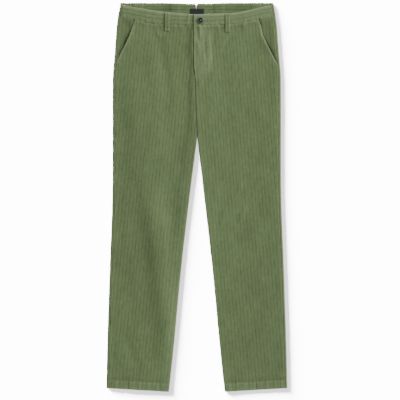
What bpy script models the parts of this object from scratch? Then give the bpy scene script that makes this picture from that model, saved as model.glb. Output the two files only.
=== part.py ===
"""Tapered corduroy chinos, laid flat with the front up.

Frame: +X to the viewer's right, +Y to the waist, +Z up from the surface that the trousers lie on.
A place on the cloth is given by x and by its station, the distance down from the back waist edge.
"Across" is the distance from the middle towards the side, the same on both legs.
Left and right are the viewer's. Tables are in millimetres and everything else in metres.
"""

import math
from collections import namedtuple

import bmesh
import bpy

MM = 0.001
LEFT, RIGHT = -1, 1
SIDES = {"left": LEFT, "right": RIGHT}

# Cloth and seams
LENGTH = 1088 * MM          # back waist edge to the inner corners of the hems
WALL = 1.9 * MM             # corduroy, napped side out
BAND_WALL = 2.6 * MM        # waistband: cloth and its facing
HEM_WALL = 2.6 * MM         # hem: the cloth turned up and stitched
SEAM = 0.3 * MM             # gap between two pieces that are sewn together
FOLD_RADIUS = 3.3 * MM      # outside of the cloth where it turns at the sides
SIDE_SEAM_INSET = 7.0 * MM  # the back comes round to the front by this much
REST_LEVEL = 6.0 * MM       # outer face of the front where it lies on the back
EDGE_LIP = 0.7 * MM         # straight stretch of a turned edge, next to its seam
EDGE_REACH = 26 * MM        # how far the turned edges hold the front up
CROTCH_STATION = 305 * MM   # where the centre seams meet the inseams
CROTCH_EASE = 0.45 * MM     # the seams stand further apart there
CROTCH_EASE_LENGTH = 50 * MM
RISE_END = 210 * MM         # below this station the centre seams start to turn down
LEAST_ROLL = 0.02           # a seam that lies flat still turns by this share of a right angle
LEAST_HOLLOW = 0.1 * MM     # a fold's trough stays this far above touching the back
COLUMN_CLUSTER = 0.6        # how much closer the grid lines stand at the edges of a panel

# Waist
BACK_SEAM = 37.5 * MM       # station of the seam under the back waistband
FRONT_SEAM = 62 * MM        # the same at the front, in the middle of a panel
NOTCH_HALF_WIDTH = 3.0 * MM
NOTCH_DEPTH = 12 * MM
BACK_CENTRE_DIP = 2.2 * MM  # the back waist edge is this much lower at the centre
BAND_LEVEL = 6.9 * MM       # outer face of the front waistband
UNDER_BAND_LEVEL = 6.5 * MM # the same where the other half laps over it
OVER_BAND_LEVEL = 9.4 * MM  # outer face of the half that laps over
BAND_CROWN = 0.4 * MM
BAND_STEP = 0.7 * MM        # the front waistband stands this much above the fronts
BAND_STEP_LENGTH = 30 * MM  # and the fronts rise to it over this length
UNDER_BAND_END = 36 * MM    # x of the end of the lower half, under the other
UNDER_BAND_SLOPE = (-44 * MM, -28 * MM)  # x where the lower half dips to go under the other
OVER_BAND_SLOPE_END = 110 * MM           # x where the upper half is down on the level of the rest
OVER_BAND_END = -9 * MM     # x of the end of the upper half

# Fly
FLY_WIDTH = 41 * MM         # edge to the stitching
FLY_TURN_STATION = 172 * MM # where the stitching starts to turn in
FLY_TURN_LENGTH = 40 * MM
FLY_SLOPE = 0.4             # past the stitching the fly slopes down over this share of its width
FLY_LEVEL = 8.6 * MM
FLY_FACING_LEVEL = 6.2 * MM
FLY_FACING_WALL = 1.0 * MM
FLY_FACING_WIDTH = 38 * MM
FLY_FACING_LOW = 0.75       # share of the turn that the facing reaches
UNDERLAP = 14 * MM          # the left front runs on under the fly
UNDERLAP_LEVEL = 4.9 * MM
UNDERLAP_END = (164 * MM, 178 * MM)      # stations where its edge runs back to the centre seam
UNDERLAP_SLOPE = (10 * MM, 30 * MM)      # across, where the left front dips to it
UNDERLAP_FADE = (178 * MM, 215 * MM)     # stations where the dip ends

# Pockets
POCKET_TOP = (174.5 * MM, 53 * MM)      # across and station of the two ends of the opening
POCKET_LOW = (223.8 * MM, 158 * MM)
POCKET_BOW = 3.0 * MM                   # the edge curves in by this much
POCKET_RAISE = 2.1 * MM
POCKET_REACH = 20 * MM
FACING_WALL = 1.3 * MM
FACING_UNDERLAP = 13 * MM
FACING_DIP = {LEFT: 2.0 * MM, RIGHT: 1.6 * MM}

# Belt loops, label and button
LOOP_WIDTH = 13 * MM
LOOP_LENGTH = 51 * MM
LOOP_WALL = 1.8 * MM
LOOP_CLEARANCE = 0.45 * MM
BACK_LOOP_WALL = 1.0 * MM
BACK_LOOP_RISE = 1.3 * MM   # the back waistband rides over the loops under it
BACK_LOOPS = (62 * MM, 165 * MM)
BACK_LOOP_SLOPE = (7.5 * MM, 18 * MM)    # from a loop's middle, where the waistband comes down
FRONT_LOOPS = {"left": -83 * MM, "right": 86 * MM}
LOOP_BRIDGE = (3 * MM, 14 * MM)          # below the seam, where a front loop comes down to the leg
LABEL_WIDTH, LABEL_HEIGHT, LABEL_WALL = 38.4 * MM, 19 * MM, 0.6 * MM
LABEL_TOP_STATION = 17 * MM
LABEL_X = 1 * MM
BUTTON_X, BUTTON_STATION = 10.6 * MM, 50.7 * MM
BUTTON_RADIUS = 8.2 * MM
BUTTON_THICKNESS = 3.2 * MM
BUTTON_HOLE_RADIUS = 0.9 * MM
BUTTON_HOLE_OFFSET = 1.5 * MM
SHANK_RADIUS = 0.8 * MM
BUTTONHOLE_START, BUTTONHOLE_END = 8.8 * MM, 31 * MM
BUTTONHOLE_WIDTH = 2.4 * MM

# Hems
HEM_DEPTH = 22 * MM
HEM_SLOPE = 0.06            # the hems rise towards the sides
HEM_RAISE = 0.6 * MM        # the double cloth stands proud of the leg
HEM_SLOPE_START = 900 * MM  # the grid lines take up the slope from this station on
HEM_TOP = LENGTH - HEM_DEPTH

# Stations that the fronts and the backs share, so that their inseams match
HIP_STATION = 200 * MM
CROTCH_ROWS = (5, 225 * MM, 380 * MM)
THIGH_STATION = 425 * MM
FOLD_FADE = 60 * MM         # a fold dies away over this length at each end

# The outline, from the middle line to the outer and the inner edge of a leg
Section = namedtuple("Section", "station half_width half_gap")
SECTIONS = (
    Section(0, 213.5, 0),
    Section(36, 220.3, 0),
    Section(70, 224.7, 0),
    Section(115, 227.8, 0),
    Section(160, 231.2, 0),
    Section(204, 235.0, 0),
    Section(260, 235.6, 0),
    Section(380, 235.6, 0),
    Section(405, 235.6, 3.4),
    Section(517, 235.7, 17.0),
    Section(607, 238.0, 27.8),
    Section(697, 242.0, 38.3),
    Section(831, 246.5, 52.0),
    Section(943, 250.2, 62.2),
    Section(1055, 252.7, 74.0),
    Section(1088, 253.0, 77.8),
)

# Where the centre seams run
Centre = namedtuple("Centre", "station front back")
CENTRES = (
    Centre(0, -8.0, -1.3),
    Centre(181, -8.0, -1.3),
    Centre(200, -4.8, -1.4),
    Centre(300, -2.5, -2.5),
    Centre(375, 1.2, 1.2),
    Centre(430, 1.2, 1.2),
    Centre(517, 0.3, 0.3),
    Centre(700, 0.0, 0.0),
)

# The front waistband: stations of its upper edge and of its seam
Waist = namedtuple("Waist", "across left_edge right_edge left_seam right_seam")
WAIST = (
    Waist(0, 33.5, 33.3, 62.8, 62.8),
    Waist(50, 29.1, 31.1, 62.5, 62.5),
    Waist(85, 26.4, 30.2, 61.6, 61.3),
    Waist(130, 20.2, 24.7, 57.3, 55.8),
    Waist(170, 13.6, 15.0, 48.4, 46.5),
    Waist(218, 5.3, 5.2, 38.4, 37.2),
)

# The largest folds: a crest or, where its height is negative, a trough through three points
Fold = namedtuple(
    "Fold",
    "side top_x top_station middle_x middle_station low_x low_station left_width right_width height",
)
FOLDS = (
    Fold(LEFT, -19, 80, -24, 300, -66, 680, 11, 9, -1.5),      # beside the fly, then the inseam
    Fold(LEFT, -110, 75, -84, 240, -90, 370, 20, 20, -1.1),    # from the hip to the thigh
    Fold(LEFT, -50, 90, -48, 220, -55, 330, 20, 20, 1.2),
    Fold(LEFT, -140, 500, -112, 700, -84, 1000, 26, 18, 1.7),  # knee to hem
    Fold(LEFT, -205, 920, -184, 985, -156, 1050, 16, 16, -0.8),
    Fold(RIGHT, 46, 260, 50, 420, 66, 600, 26, 30, 1.1),
    Fold(RIGHT, 150, 250, 152, 420, 158, 640, 34, 34, -1.1),
    Fold(RIGHT, 120, 560, 112, 760, 118, 960, 36, 36, 0.9),
)

CORDUROY = ("corduroy", (0.141, 0.182, 0.089, 1), 0.92)
BLACK_TAPE = ("black_tape", (0.012, 0.012, 0.013, 1), 0.7)
HORN = ("horn", (0.035, 0.038, 0.042, 1), 0.35)
THREAD = ("thread", (0.20, 0.24, 0.20, 1), 0.8)


def ramp(value, start, end):
    """0 before start, 1 after end, and a smooth rise between them."""
    share = min(max((value - start) / (end - start), 0), 1)
    return share * share * (3 - 2 * share)


def mix(first, second, share):
    return first + (second - first) * share


def bell(distance, width):
    return math.exp(-((distance / width) ** 2))


def column_of(rows, key, column, value):
    """A table's column at a value of its key, in metres, on a smooth curve that never overshoots."""
    keys = [getattr(row, key) * MM for row in rows]
    values = [getattr(row, column) * MM for row in rows]
    value = min(max(value, keys[0]), keys[-1])
    rises = [(b - a) / (n - m) for a, b, m, n in zip(values, values[1:], keys, keys[1:])]
    slopes = [rises[0]]
    for before, after in zip(rises, rises[1:]):
        slopes.append(2 * before * after / (before + after) if before * after > 0 else 0)
    slopes.append(rises[-1])
    row = max(index for index, start in enumerate(keys[:-1]) if start <= value)
    step = keys[row + 1] - keys[row]
    rise = values[row + 1] - values[row]
    t = (value - keys[row]) / step
    bend = step * (slopes[row] * (1 - t) - slopes[row + 1] * t) + rise * (2 * t - 1)
    return mix(values[row], values[row + 1], t) + t * (1 - t) * bend


def half_width(station):
    return column_of(SECTIONS, "station", "half_width", station)


def half_gap(station):
    return max(column_of(SECTIONS, "station", "half_gap", station), SEAM / 2)


def centre(panel, station):
    return column_of(CENTRES, "station", panel, station)


def waist(side, line, across):
    """Station of the front waistband's edge or seam."""
    name = ("left_" if side == LEFT else "right_") + line
    return column_of(WAIST, "across", name, abs(across))


def side_line(station):
    """Across, to the side seam on the front."""
    return half_width(station) - SIDE_SEAM_INSET - SEAM


def pocket_line(station):
    """Across, to the open edge of a front pocket."""
    (top, top_station), (low, low_station) = POCKET_TOP, POCKET_LOW
    share = (station - top_station) / (low_station - top_station)
    return mix(top, low, share) - 4 * POCKET_BOW * max(share * (1 - share), 0)


def front_outer(station):
    if station < POCKET_LOW[1]:
        return min(pocket_line(station), side_line(station))
    return side_line(station)


def inner_line(side, panel, station):
    """Across, to the centre seam or the inseam."""
    line = side * centre(panel, station) + half_gap(station)
    if side == LEFT and panel == "front":
        line -= UNDERLAP * (1 - ramp(station, *UNDERLAP_END))
    return line


def inner_roll(station):
    """How far the inner edges turn down: 0 at the fly, 1 at the inseam."""
    return max(ramp(station, RISE_END, CROTCH_STATION), LEAST_ROLL)


def inner_seam_height(station, facing):
    """Height of a panel's edge at the inseam: facing is 1 for the front and -1 for the back."""
    ease = CROTCH_EASE * bell(station - CROTCH_STATION, CROTCH_EASE_LENGTH)
    return FOLD_RADIUS + facing * (SEAM / 2 + ease)


def band_level(side, x):
    """Height of the front waistband's outer face."""
    level = mix(BAND_LEVEL, 2 * FOLD_RADIUS, bell(half_width(FRONT_SEAM / 2) - side * x, EDGE_REACH))
    if side == LEFT:
        return mix(level, UNDER_BAND_LEVEL, ramp(x, *UNDER_BAND_SLOPE))
    return mix(OVER_BAND_LEVEL, level, ramp(x, UNDER_BAND_END, OVER_BAND_SLOPE_END))


def fly_cover(x, station):
    """1 over the fly, 0 away from it."""
    drop = max(station - FLY_TURN_STATION, 0) / FLY_TURN_LENGTH
    return 1 - ramp(math.hypot((x - OVER_BAND_END) / FLY_WIDTH, drop), 1, 1 + FLY_SLOPE)


def fold_height(side, x, station):
    total = 0
    for fold in FOLDS:
        if fold.side != side:
            continue
        top, middle, low = (fold.top_station * MM, fold.middle_station * MM, fold.low_station * MM)
        if station < middle:
            crest = mix(fold.top_x, fold.middle_x, (station - top) / (middle - top)) * MM
        else:
            crest = mix(fold.middle_x, fold.low_x, (station - middle) / (low - middle)) * MM
        share = ramp(station, top - FOLD_FADE, top + FOLD_FADE)
        share *= 1 - ramp(station, low - FOLD_FADE, low + FOLD_FADE)
        width = (fold.left_width if x < crest else fold.right_width) * MM
        total += fold.height * MM * share * bell(x - crest, width)
    return total


def pocket_raise(across, station):
    """The open pocket edge lies over the facing."""
    (top, top_station), (low, low_station) = POCKET_TOP, POCKET_LOW
    nearest = min(max(station, top_station), low_station)
    return POCKET_RAISE * bell(math.hypot(pocket_line(nearest) - across, (station - nearest)), POCKET_REACH)


def front_level(side, x, station):
    """Height of a front panel's outer face, away from its inner edge."""
    across = side * x
    at_side = bell(max(side_line(station) - across, 0), EDGE_REACH)
    at_inner = bell(across - inner_line(side, "front", station), EDGE_REACH)
    held = max(at_side, at_inner * ramp(station, RISE_END, CROTCH_STATION))
    level = mix(REST_LEVEL + fold_height(side, x, station), 2 * FOLD_RADIUS, held)
    level = max(level, 2 * WALL + SEAM + LEAST_HOLLOW)
    below_band = max(station - waist(side, "seam", across), 0)
    level = mix(level, band_level(side, x) - BAND_STEP, bell(below_band, BAND_STEP_LENGTH))
    level += pocket_raise(across, station)
    if side == RIGHT:
        return mix(level, FLY_LEVEL, fly_cover(x, station))
    under = (1 - ramp(across, *UNDERLAP_SLOPE)) * (1 - ramp(station, *UNDERLAP_FADE))
    return mix(level, UNDERLAP_LEVEL, under)


def facing_level(side, x, station):
    """Height of a pocket facing's outer face."""
    inside = max(side_line(station) - side * x, 0)
    return 2 * FOLD_RADIUS - FACING_DIP[side] * ramp(inside, 0, 24 * MM)


def hem_drop(across, nominal):
    """The rows near the hem follow its slope."""
    return -HEM_SLOPE * (across - half_gap(LENGTH)) * ramp(nominal, HEM_SLOPE_START, HEM_TOP)


def spread(share):
    return share - COLUMN_CLUSTER * math.sin(2 * math.pi * share) / (2 * math.pi)


def at(side, across, station, height):
    return (side * across, LENGTH / 2 - station, height)


def turned(level, seam_height, roll, share):
    """How far in and how high a point lies on a turned edge: share 0 to 1 round the bend, 2 at its seam."""
    seam_height += math.copysign(WALL * math.cos(roll * math.pi / 2), level - seam_height)
    angle = roll * min(share, 1) * math.pi / 2
    lip = EDGE_LIP * max(share - 1, 0)
    bend_end = seam_height + math.copysign(EDGE_LIP, level - seam_height)
    inward = FOLD_RADIUS / roll * math.sin(angle) + lip * math.cos(angle)
    height = level + (bend_end - level) / roll * (1 - math.cos(angle))
    return inward, height + math.copysign(lip, seam_height - level) * math.sin(angle)


def settle(place, station_at, start):
    """The place whose station suits its own distance across."""
    across, height = place(start)
    for _ in range(5):
        station = station_at(across)
        across, height = place(station)
    return across, station, height


def front_point(side, column, nominal, proud=0):
    """Column 0 is the side seam or pocket edge, 1 where the inner edge starts to turn, 3 the inner edge."""

    def place(station):
        roll = inner_roll(station)
        reach, _ = turned(0, 0, roll, 2)
        start = inner_line(side, "front", station) + reach
        if column <= 1:
            across = mix(front_outer(station), start, spread(column))
            return across, front_level(side, side * across, station) + proud * (1 - bell(column, 0.08))
        level = front_level(side, side * start, station) + proud
        inward, height = turned(level, inner_seam_height(station, 1), roll, column - 1)
        return start - inward, height

    def station_at(across):
        top = waist(side, "seam", across) + SEAM / 2 - FRONT_SEAM
        top *= 1 - ramp(nominal, FRONT_SEAM, FLY_TURN_STATION)
        return nominal + top + hem_drop(across, nominal)

    return at(side, *settle(place, station_at, nominal))


def folded_side(side, column, station):
    """The cloth from the side seam on the front round to the underside: column -2 to 0."""
    edge = half_width(station) - FOLD_RADIUS
    if column < -1:
        return edge - (-1 - column) * (SIDE_SEAM_INSET - FOLD_RADIUS), 2 * FOLD_RADIUS
    angle = -column * math.pi
    return edge + FOLD_RADIUS * math.sin(angle), FOLD_RADIUS * (1 - math.cos(angle))


def back_point(side, column, nominal):
    """Column -2 is the side seam, 0 the underside at the side, 1 the inner edge's turn, 3 its end."""

    def place(station):
        if column < 0:
            return folded_side(side, column, station)
        roll = inner_roll(station)
        reach, _ = turned(0, 0, roll, 2)
        start = inner_line(side, "back", station) + reach
        if column <= 1:
            return mix(half_width(station) - FOLD_RADIUS, start, column), 0
        inward, height = turned(0, inner_seam_height(station, -1), roll, column - 1)
        return start - inward, height

    return at(side, *settle(place, lambda across: nominal + hem_drop(across, nominal), nominal))


def back_band_point(side, column, share):
    """Share runs from the waist edge, 0, to the seam, 1."""
    seam = BACK_SEAM - SEAM / 2
    if column < 0:
        edge = mix(0, waist(side, "edge", side_line(0)), ramp(-column, 0.4, 2))
        station = mix(edge, seam, share)
        across, height = folded_side(side, column, station)
        return at(side, across, station, height)
    across = mix(half_width(0) - FOLD_RADIUS, 0, column)
    edge = BACK_CENTRE_DIP * (1 - ramp(across, 10 * MM, 100 * MM))
    station = mix(edge, seam, share)
    notch = NOTCH_HALF_WIDTH * max(1 - station / NOTCH_DEPTH, 0)
    inner = side * centre("back", station) + SEAM / 2 + notch
    across = mix(half_width(station) - FOLD_RADIUS, inner, column)
    rise = sum(1 - ramp(abs(across - loop), *BACK_LOOP_SLOPE) for loop in BACK_LOOPS)
    return at(side, across, station, BACK_LOOP_RISE * rise)


def front_band_point(side, column, share):
    end = -UNDER_BAND_END if side == LEFT else OVER_BAND_END

    def place(station):
        across = mix(side_line(station), end, column)
        lapped = side == LEFT and side * across > OVER_BAND_END
        crown = 0 if lapped else BAND_CROWN * math.sin(math.pi * share) * ramp(column, 0, 0.2)
        return across, band_level(side, side * across) + crown

    def station_at(across):
        across = max(across, 0)
        return mix(waist(side, "edge", across), waist(side, "seam", across) - SEAM / 2, share)

    return at(side, *settle(place, station_at, FRONT_SEAM / 2))


def facing_point(side, column, share):
    """A pocket facing, from the side seam to under the front panel."""

    def place(station):
        outer = side_line(station)
        across = mix(outer, min(pocket_line(station), outer) - FACING_UNDERLAP, column)
        return across, facing_level(side, side * across, station)

    def station_at(across):
        return mix(waist(side, "seam", across) + SEAM / 2, POCKET_LOW[1] - 1 * MM, share)

    return at(side, *settle(place, station_at, BACK_SEAM))


def fly_facing_point(column, share):
    top = waist(RIGHT, "seam", 0) + SEAM
    station = mix(top, FLY_TURN_STATION + FLY_FACING_LOW * FLY_TURN_LENGTH, share)
    drop = max(station - FLY_TURN_STATION, 0) / FLY_TURN_LENGTH
    outer = OVER_BAND_END + FLY_FACING_WIDTH * math.sqrt(1 - drop * drop)
    x = mix(outer, centre("front", station) + 2 * SEAM, column)
    return at(RIGHT, x, station, FLY_FACING_LEVEL)


def loop_point(side, x, column, share):
    """The underside of a front belt loop, which bridges the step at the seam."""
    across = side * x + (column - 0.5) * LOOP_WIDTH
    station = waist(side, "edge", side * x) + 2.5 * MM + share * LOOP_LENGTH
    on_band = band_level(side, side * across) + BAND_CROWN
    seam = waist(side, "seam", across)
    on_panel = front_level(side, side * across, max(station, seam))
    past = ramp(station - seam, *LOOP_BRIDGE)
    height = max(mix(on_band, on_panel, past), on_panel)
    return at(side, across, station, height + LOOP_CLEARANCE)


def back_loop_point(side, middle, column, share):
    station = mix(1.5 * MM, BACK_SEAM - 1 * MM, share)
    return at(side, middle + (column - 0.5) * LOOP_WIDTH, station, 0)


def even(count, start=0.0, end=1.0):
    return [mix(start, end, index / (count - 1)) for index in range(count)]


def material(name, colour, roughness):
    found = bpy.data.materials.get(name)
    if found:
        return found
    made = bpy.data.materials.new(name)
    made.use_nodes = True
    shader = made.node_tree.nodes["Principled BSDF"]
    shader.inputs["Base Color"].default_value = colour
    shader.inputs["Roughness"].default_value = roughness
    shader.inputs["Metallic"].default_value = 0
    return made


def add_object(name, mesh, finish, collection):
    obj = bpy.data.objects.new(name, mesh)
    mesh.materials.append(material(*finish))
    collection.objects.link(obj)
    return obj


def mesh_from(bm, name):
    mesh = bpy.data.meshes.new(name)
    bm.to_mesh(mesh)
    bm.free()
    return mesh


def cloth(name, columns, rows, place, wall, collection, faces_up=True, outwards=False):
    """A grid laid where place() says, given its wall behind that face, or outwards from it."""
    bm = bmesh.new()
    across, down = len(columns) - 1, len(rows) - 1
    bmesh.ops.create_grid(bm, x_segments=across, y_segments=down, size=0.5)
    for vert in bm.verts:
        column = columns[round((vert.co.x + 0.5) * across)]
        row = rows[round((vert.co.y + 0.5) * down)]
        vert.co = place(column, row)
    bm.normal_update()
    faces_now = sum(face.normal.z * face.calc_area() for face in bm.faces) > 0
    if faces_now != faces_up:
        bmesh.ops.reverse_faces(bm, faces=bm.faces)
    obj = add_object(name, mesh_from(bm, name), CORDUROY, collection)
    obj.data.shade_smooth()
    solidify = obj.modifiers.new("wall", "SOLIDIFY")
    solidify.thickness = wall
    solidify.offset = 1 if outwards else -1
    solidify.use_even_offset = True
    return obj


def cut(obj, cutter):
    boolean = obj.modifiers.new("cut_" + cutter.name, "BOOLEAN")
    boolean.operation = "DIFFERENCE"
    boolean.object = cutter


def box(name, size, centre_at, collection, finish):
    bm = bmesh.new()
    bmesh.ops.create_cube(bm, size=1)
    bmesh.ops.scale(bm, vec=size, verts=bm.verts)
    bmesh.ops.translate(bm, vec=centre_at, verts=bm.verts)
    return add_object(name, mesh_from(bm, name), finish, collection)


def cylinder(name, radius, low, high, x, y, collection, finish, segments=16):
    bm = bmesh.new()
    bmesh.ops.create_cone(
        bm, cap_ends=True, segments=segments, radius1=radius, radius2=radius, depth=high - low
    )
    bmesh.ops.translate(bm, vec=(x, y, (low + high) / 2), verts=bm.verts)
    return add_object(name, mesh_from(bm, name), finish, collection)


def as_cutter(obj):
    obj.hide_render = True
    obj.display_type = "WIRE"
    return obj


def make_legs(parts):
    """Fronts, backs and turned hems."""
    turn = even(4, 1, 2)[1:] + [3]
    front_columns = even(15) + turn
    back_columns = [-2] + even(7, -1, 0) + even(5)[1:] + turn
    crotch_rows = even(*CROTCH_ROWS)
    leg_end = HEM_TOP - SEAM / 2
    front_rows = even(9, FRONT_SEAM, HIP_STATION) + crotch_rows + even(11, THIGH_STATION, leg_end)
    back_rows = even(8, BACK_SEAM + SEAM / 2, HIP_STATION) + crotch_rows + even(9, THIGH_STATION, leg_end)
    hem_rows = even(3, HEM_TOP + SEAM / 2, LENGTH)
    for name, side in SIDES.items():
        cloth(f"front_{name}", front_columns, front_rows,
              lambda c, r, s=side: front_point(s, c, r), WALL, parts)
        cloth(f"back_{name}", back_columns, back_rows,
              lambda c, r, s=side: back_point(s, c, r), WALL, parts, faces_up=False)
        cloth(f"hem_front_{name}", front_columns, hem_rows,
              lambda c, r, s=side: front_point(s, c, r, HEM_RAISE), HEM_WALL, parts)
        cloth(f"hem_back_{name}", back_columns, hem_rows,
              lambda c, r, s=side: back_point(s, c, r), HEM_WALL, parts, faces_up=False)


def make_waistband(parts, cutters):
    """Four lengths of waistband, with the buttonhole through the upper front one."""
    span = half_width(BACK_SEAM / 2) - FOLD_RADIUS
    steps = BACK_LOOP_SLOPE + tuple(-step for step in BACK_LOOP_SLOPE)
    near_loops = [loop + step for loop in BACK_LOOPS for step in steps]
    places = sorted(near_loops + [0, 22 * MM, 113 * MM, 198 * MM, span], reverse=True)
    back_columns = [-2] + even(7, -1, 0)[:-1] + [1 - place / span for place in places]
    for name, side in SIDES.items():
        cloth(f"waistband_back_{name}", back_columns, even(4),
              lambda c, r, s=side: back_band_point(s, c, r), BAND_WALL, parts, faces_up=False)
        cloth(f"waistband_front_{name}", even(16), even(5),
              lambda c, r, s=side: front_band_point(s, c, r), BAND_WALL, parts)
    middle = (BUTTONHOLE_START + BUTTONHOLE_END) / 2
    size = (BUTTONHOLE_END - BUTTONHOLE_START, BUTTONHOLE_WIDTH, 3 * BAND_WALL)
    slot = box("buttonhole_cutter", size, at(RIGHT, middle, BUTTON_STATION, OVER_BAND_LEVEL - BAND_WALL / 2),
               cutters, THREAD)
    cut(parts.objects["waistband_front_right"], as_cutter(slot))


def make_pockets(parts):
    for name, side in SIDES.items():
        cloth(f"pocket_facing_{name}", even(6), even(8),
              lambda c, r, s=side: facing_point(s, c, r), FACING_WALL, parts)


def make_fly(parts):
    cloth("fly_facing", even(3), even(9), fly_facing_point, FLY_FACING_WALL, parts)


def make_loops(parts):
    for name, side in SIDES.items():
        cloth(f"belt_loop_front_{name}", even(3), even(9),
              lambda c, r, s=side, x=FRONT_LOOPS[name]: loop_point(s, x, c, r),
              LOOP_WALL, parts, outwards=True)
        for number, middle in enumerate(BACK_LOOPS, 1):
            cloth(f"belt_loop_back_{name}_{number}", even(2), even(3),
                  lambda c, r, s=side, m=middle: back_loop_point(s, m, c, r),
                  BACK_LOOP_WALL, parts, faces_up=False)


def make_label(parts):
    height = BAND_WALL + SEAM + LABEL_WALL / 2
    middle = LABEL_TOP_STATION + LABEL_HEIGHT / 2
    size = (LABEL_WIDTH, LABEL_HEIGHT, LABEL_WALL)
    box("label", size, at(RIGHT, LABEL_X, middle, height), parts, BLACK_TAPE)


def make_button(parts, cutters):
    """A turned button with four holes, on a thread shank through the buttonhole."""
    x, y, level = at(RIGHT, BUTTON_X, BUTTON_STATION, OVER_BAND_LEVEL + BAND_CROWN + SEAM)
    radius, thickness = BUTTON_RADIUS, BUTTON_THICKNESS
    profile = (
        (0, 0.62 * thickness),
        (0.52 * radius, 0.62 * thickness),
        (0.66 * radius, 0.92 * thickness),
        (0.80 * radius, thickness),
        (0.93 * radius, 0.90 * thickness),
        (radius, 0.62 * thickness),
        (0.90 * radius, 0.22 * thickness),
        (0.60 * radius, 0),
        (0, 0),
    )
    bm = bmesh.new()
    verts = [bm.verts.new((across, 0, height)) for across, height in profile]
    for first, second in zip(verts, verts[1:]):
        bm.edges.new((first, second))
    button = add_object("button", mesh_from(bm, "button"), HORN, parts)
    button.location = (x, y, level)
    screw = button.modifiers.new("turn", "SCREW")
    screw.steps = screw.render_steps = 28
    screw.use_merge_vertices = True
    screw.merge_threshold = 0.01 * MM
    for number in range(4):
        angle = math.pi / 4 + number * math.pi / 2
        hole = cylinder(f"button_hole_{number}", BUTTON_HOLE_RADIUS, level - thickness, level + 2 * thickness,
                        x + BUTTON_HOLE_OFFSET * math.cos(angle), y + BUTTON_HOLE_OFFSET * math.sin(angle),
                        cutters, THREAD, segments=8)
        cut(button, as_cutter(hole))
    cylinder("button_thread", SHANK_RADIUS, UNDER_BAND_LEVEL + SEAM, level - SEAM, x, y, parts, THREAD)


def main():
    for obj in list(bpy.data.objects):
        bpy.data.objects.remove(obj, do_unlink=True)
    parts = bpy.data.collections.new("tapered_chinos")
    cutters = bpy.data.collections.new("cutters")
    for collection in (parts, cutters):
        bpy.context.scene.collection.children.link(collection)
    make_legs(parts)
    make_waistband(parts, cutters)
    make_pockets(parts)
    make_fly(parts)
    make_loops(parts)
    make_label(parts)
    make_button(parts, cutters)


main()
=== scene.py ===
import math
import bpy
import numpy as np
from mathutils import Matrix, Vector


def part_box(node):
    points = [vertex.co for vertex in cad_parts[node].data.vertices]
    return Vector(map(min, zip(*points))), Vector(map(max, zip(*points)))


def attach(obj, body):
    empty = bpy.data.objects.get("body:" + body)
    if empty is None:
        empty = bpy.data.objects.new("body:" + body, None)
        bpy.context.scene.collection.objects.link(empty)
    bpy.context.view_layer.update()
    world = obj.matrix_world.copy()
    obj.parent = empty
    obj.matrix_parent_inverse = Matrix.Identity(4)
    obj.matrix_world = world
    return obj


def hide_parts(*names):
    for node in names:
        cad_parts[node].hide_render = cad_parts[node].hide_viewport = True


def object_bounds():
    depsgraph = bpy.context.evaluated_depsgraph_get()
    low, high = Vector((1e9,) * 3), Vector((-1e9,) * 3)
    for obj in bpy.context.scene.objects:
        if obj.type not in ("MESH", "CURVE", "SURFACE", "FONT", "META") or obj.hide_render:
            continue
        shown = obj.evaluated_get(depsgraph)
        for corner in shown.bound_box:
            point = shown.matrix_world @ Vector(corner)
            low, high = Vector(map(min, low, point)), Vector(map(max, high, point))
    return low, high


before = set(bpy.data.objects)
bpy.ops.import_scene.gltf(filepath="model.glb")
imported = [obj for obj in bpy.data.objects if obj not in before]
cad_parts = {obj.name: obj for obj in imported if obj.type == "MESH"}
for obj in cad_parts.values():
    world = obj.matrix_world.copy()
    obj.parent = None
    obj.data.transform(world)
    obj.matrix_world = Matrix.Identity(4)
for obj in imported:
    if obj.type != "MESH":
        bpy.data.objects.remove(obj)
cadLow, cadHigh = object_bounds()

mm = 0.001
left, right = -1, 1
sideName = {left: "left", right: "right"}
seamGap = 0.12 * mm
seamLap = 0.3 * mm            # closes the seams that the grooves between the wales would open
waistY = cadHigh.y            # stations are counted down from the back waist edge
trouserLength = cadHigh.y - cadLow.y
hemStart = 1066 * mm          # nominal station of the hem seams
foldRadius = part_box("back_left")[1].z / 2


# small maths

def ease(value, start, end):
    share = np.clip((value - start) / (end - start), 0, 1)
    return share * share * (3 - 2 * share)


def window(value, start, full, fade, end):
    # rises from 0 to 1 between start and full, and falls again between fade and end
    return ease(value, start, full) * (1 - ease(value, fade, end))


def bell(distance, width):
    return np.exp(-(distance / width) ** 2)


def blend(first, second, share):
    return first + (second - first) * share


def ripple(value, seed, waves=5):
    # an uneven wave between about -1 and 1, the same on each run
    total = 0
    for wave in range(waves):
        stretch = 1 + 0.61 * wave + 0.13 * math.sin(seed * 3.7 + wave)
        total = total + np.sin(value * stretch + seed * (1.9 + wave) + wave * wave) / (1 + 0.5 * wave)
    return total / 2.2


def through(place, knots, values):
    # a smooth curve through a few values
    knots, values = np.array(knots, float), np.array(values, float)
    slopes = np.gradient(values, knots)
    place = np.clip(place, knots[0], knots[-1])
    row = np.clip(np.searchsorted(knots, place, "right") - 1, 0, len(knots) - 2)
    step = knots[row + 1] - knots[row]
    t = (place - knots[row]) / step
    chord = values[row + 1] - values[row]
    bend = step * (slopes[row] * (1 - t) - slopes[row + 1] * t) + chord * (2 * t - 1)
    return blend(values[row], values[row + 1], t) + t * (1 - t) * bend


def rounding(distance, radius):
    # how far an edge has curved down at a distance from it
    near = radius - np.clip(distance, 0, radius)
    return radius - np.sqrt(np.maximum(radius ** 2 - near ** 2, 0))


# outlines, read from the frame's solids

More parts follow.
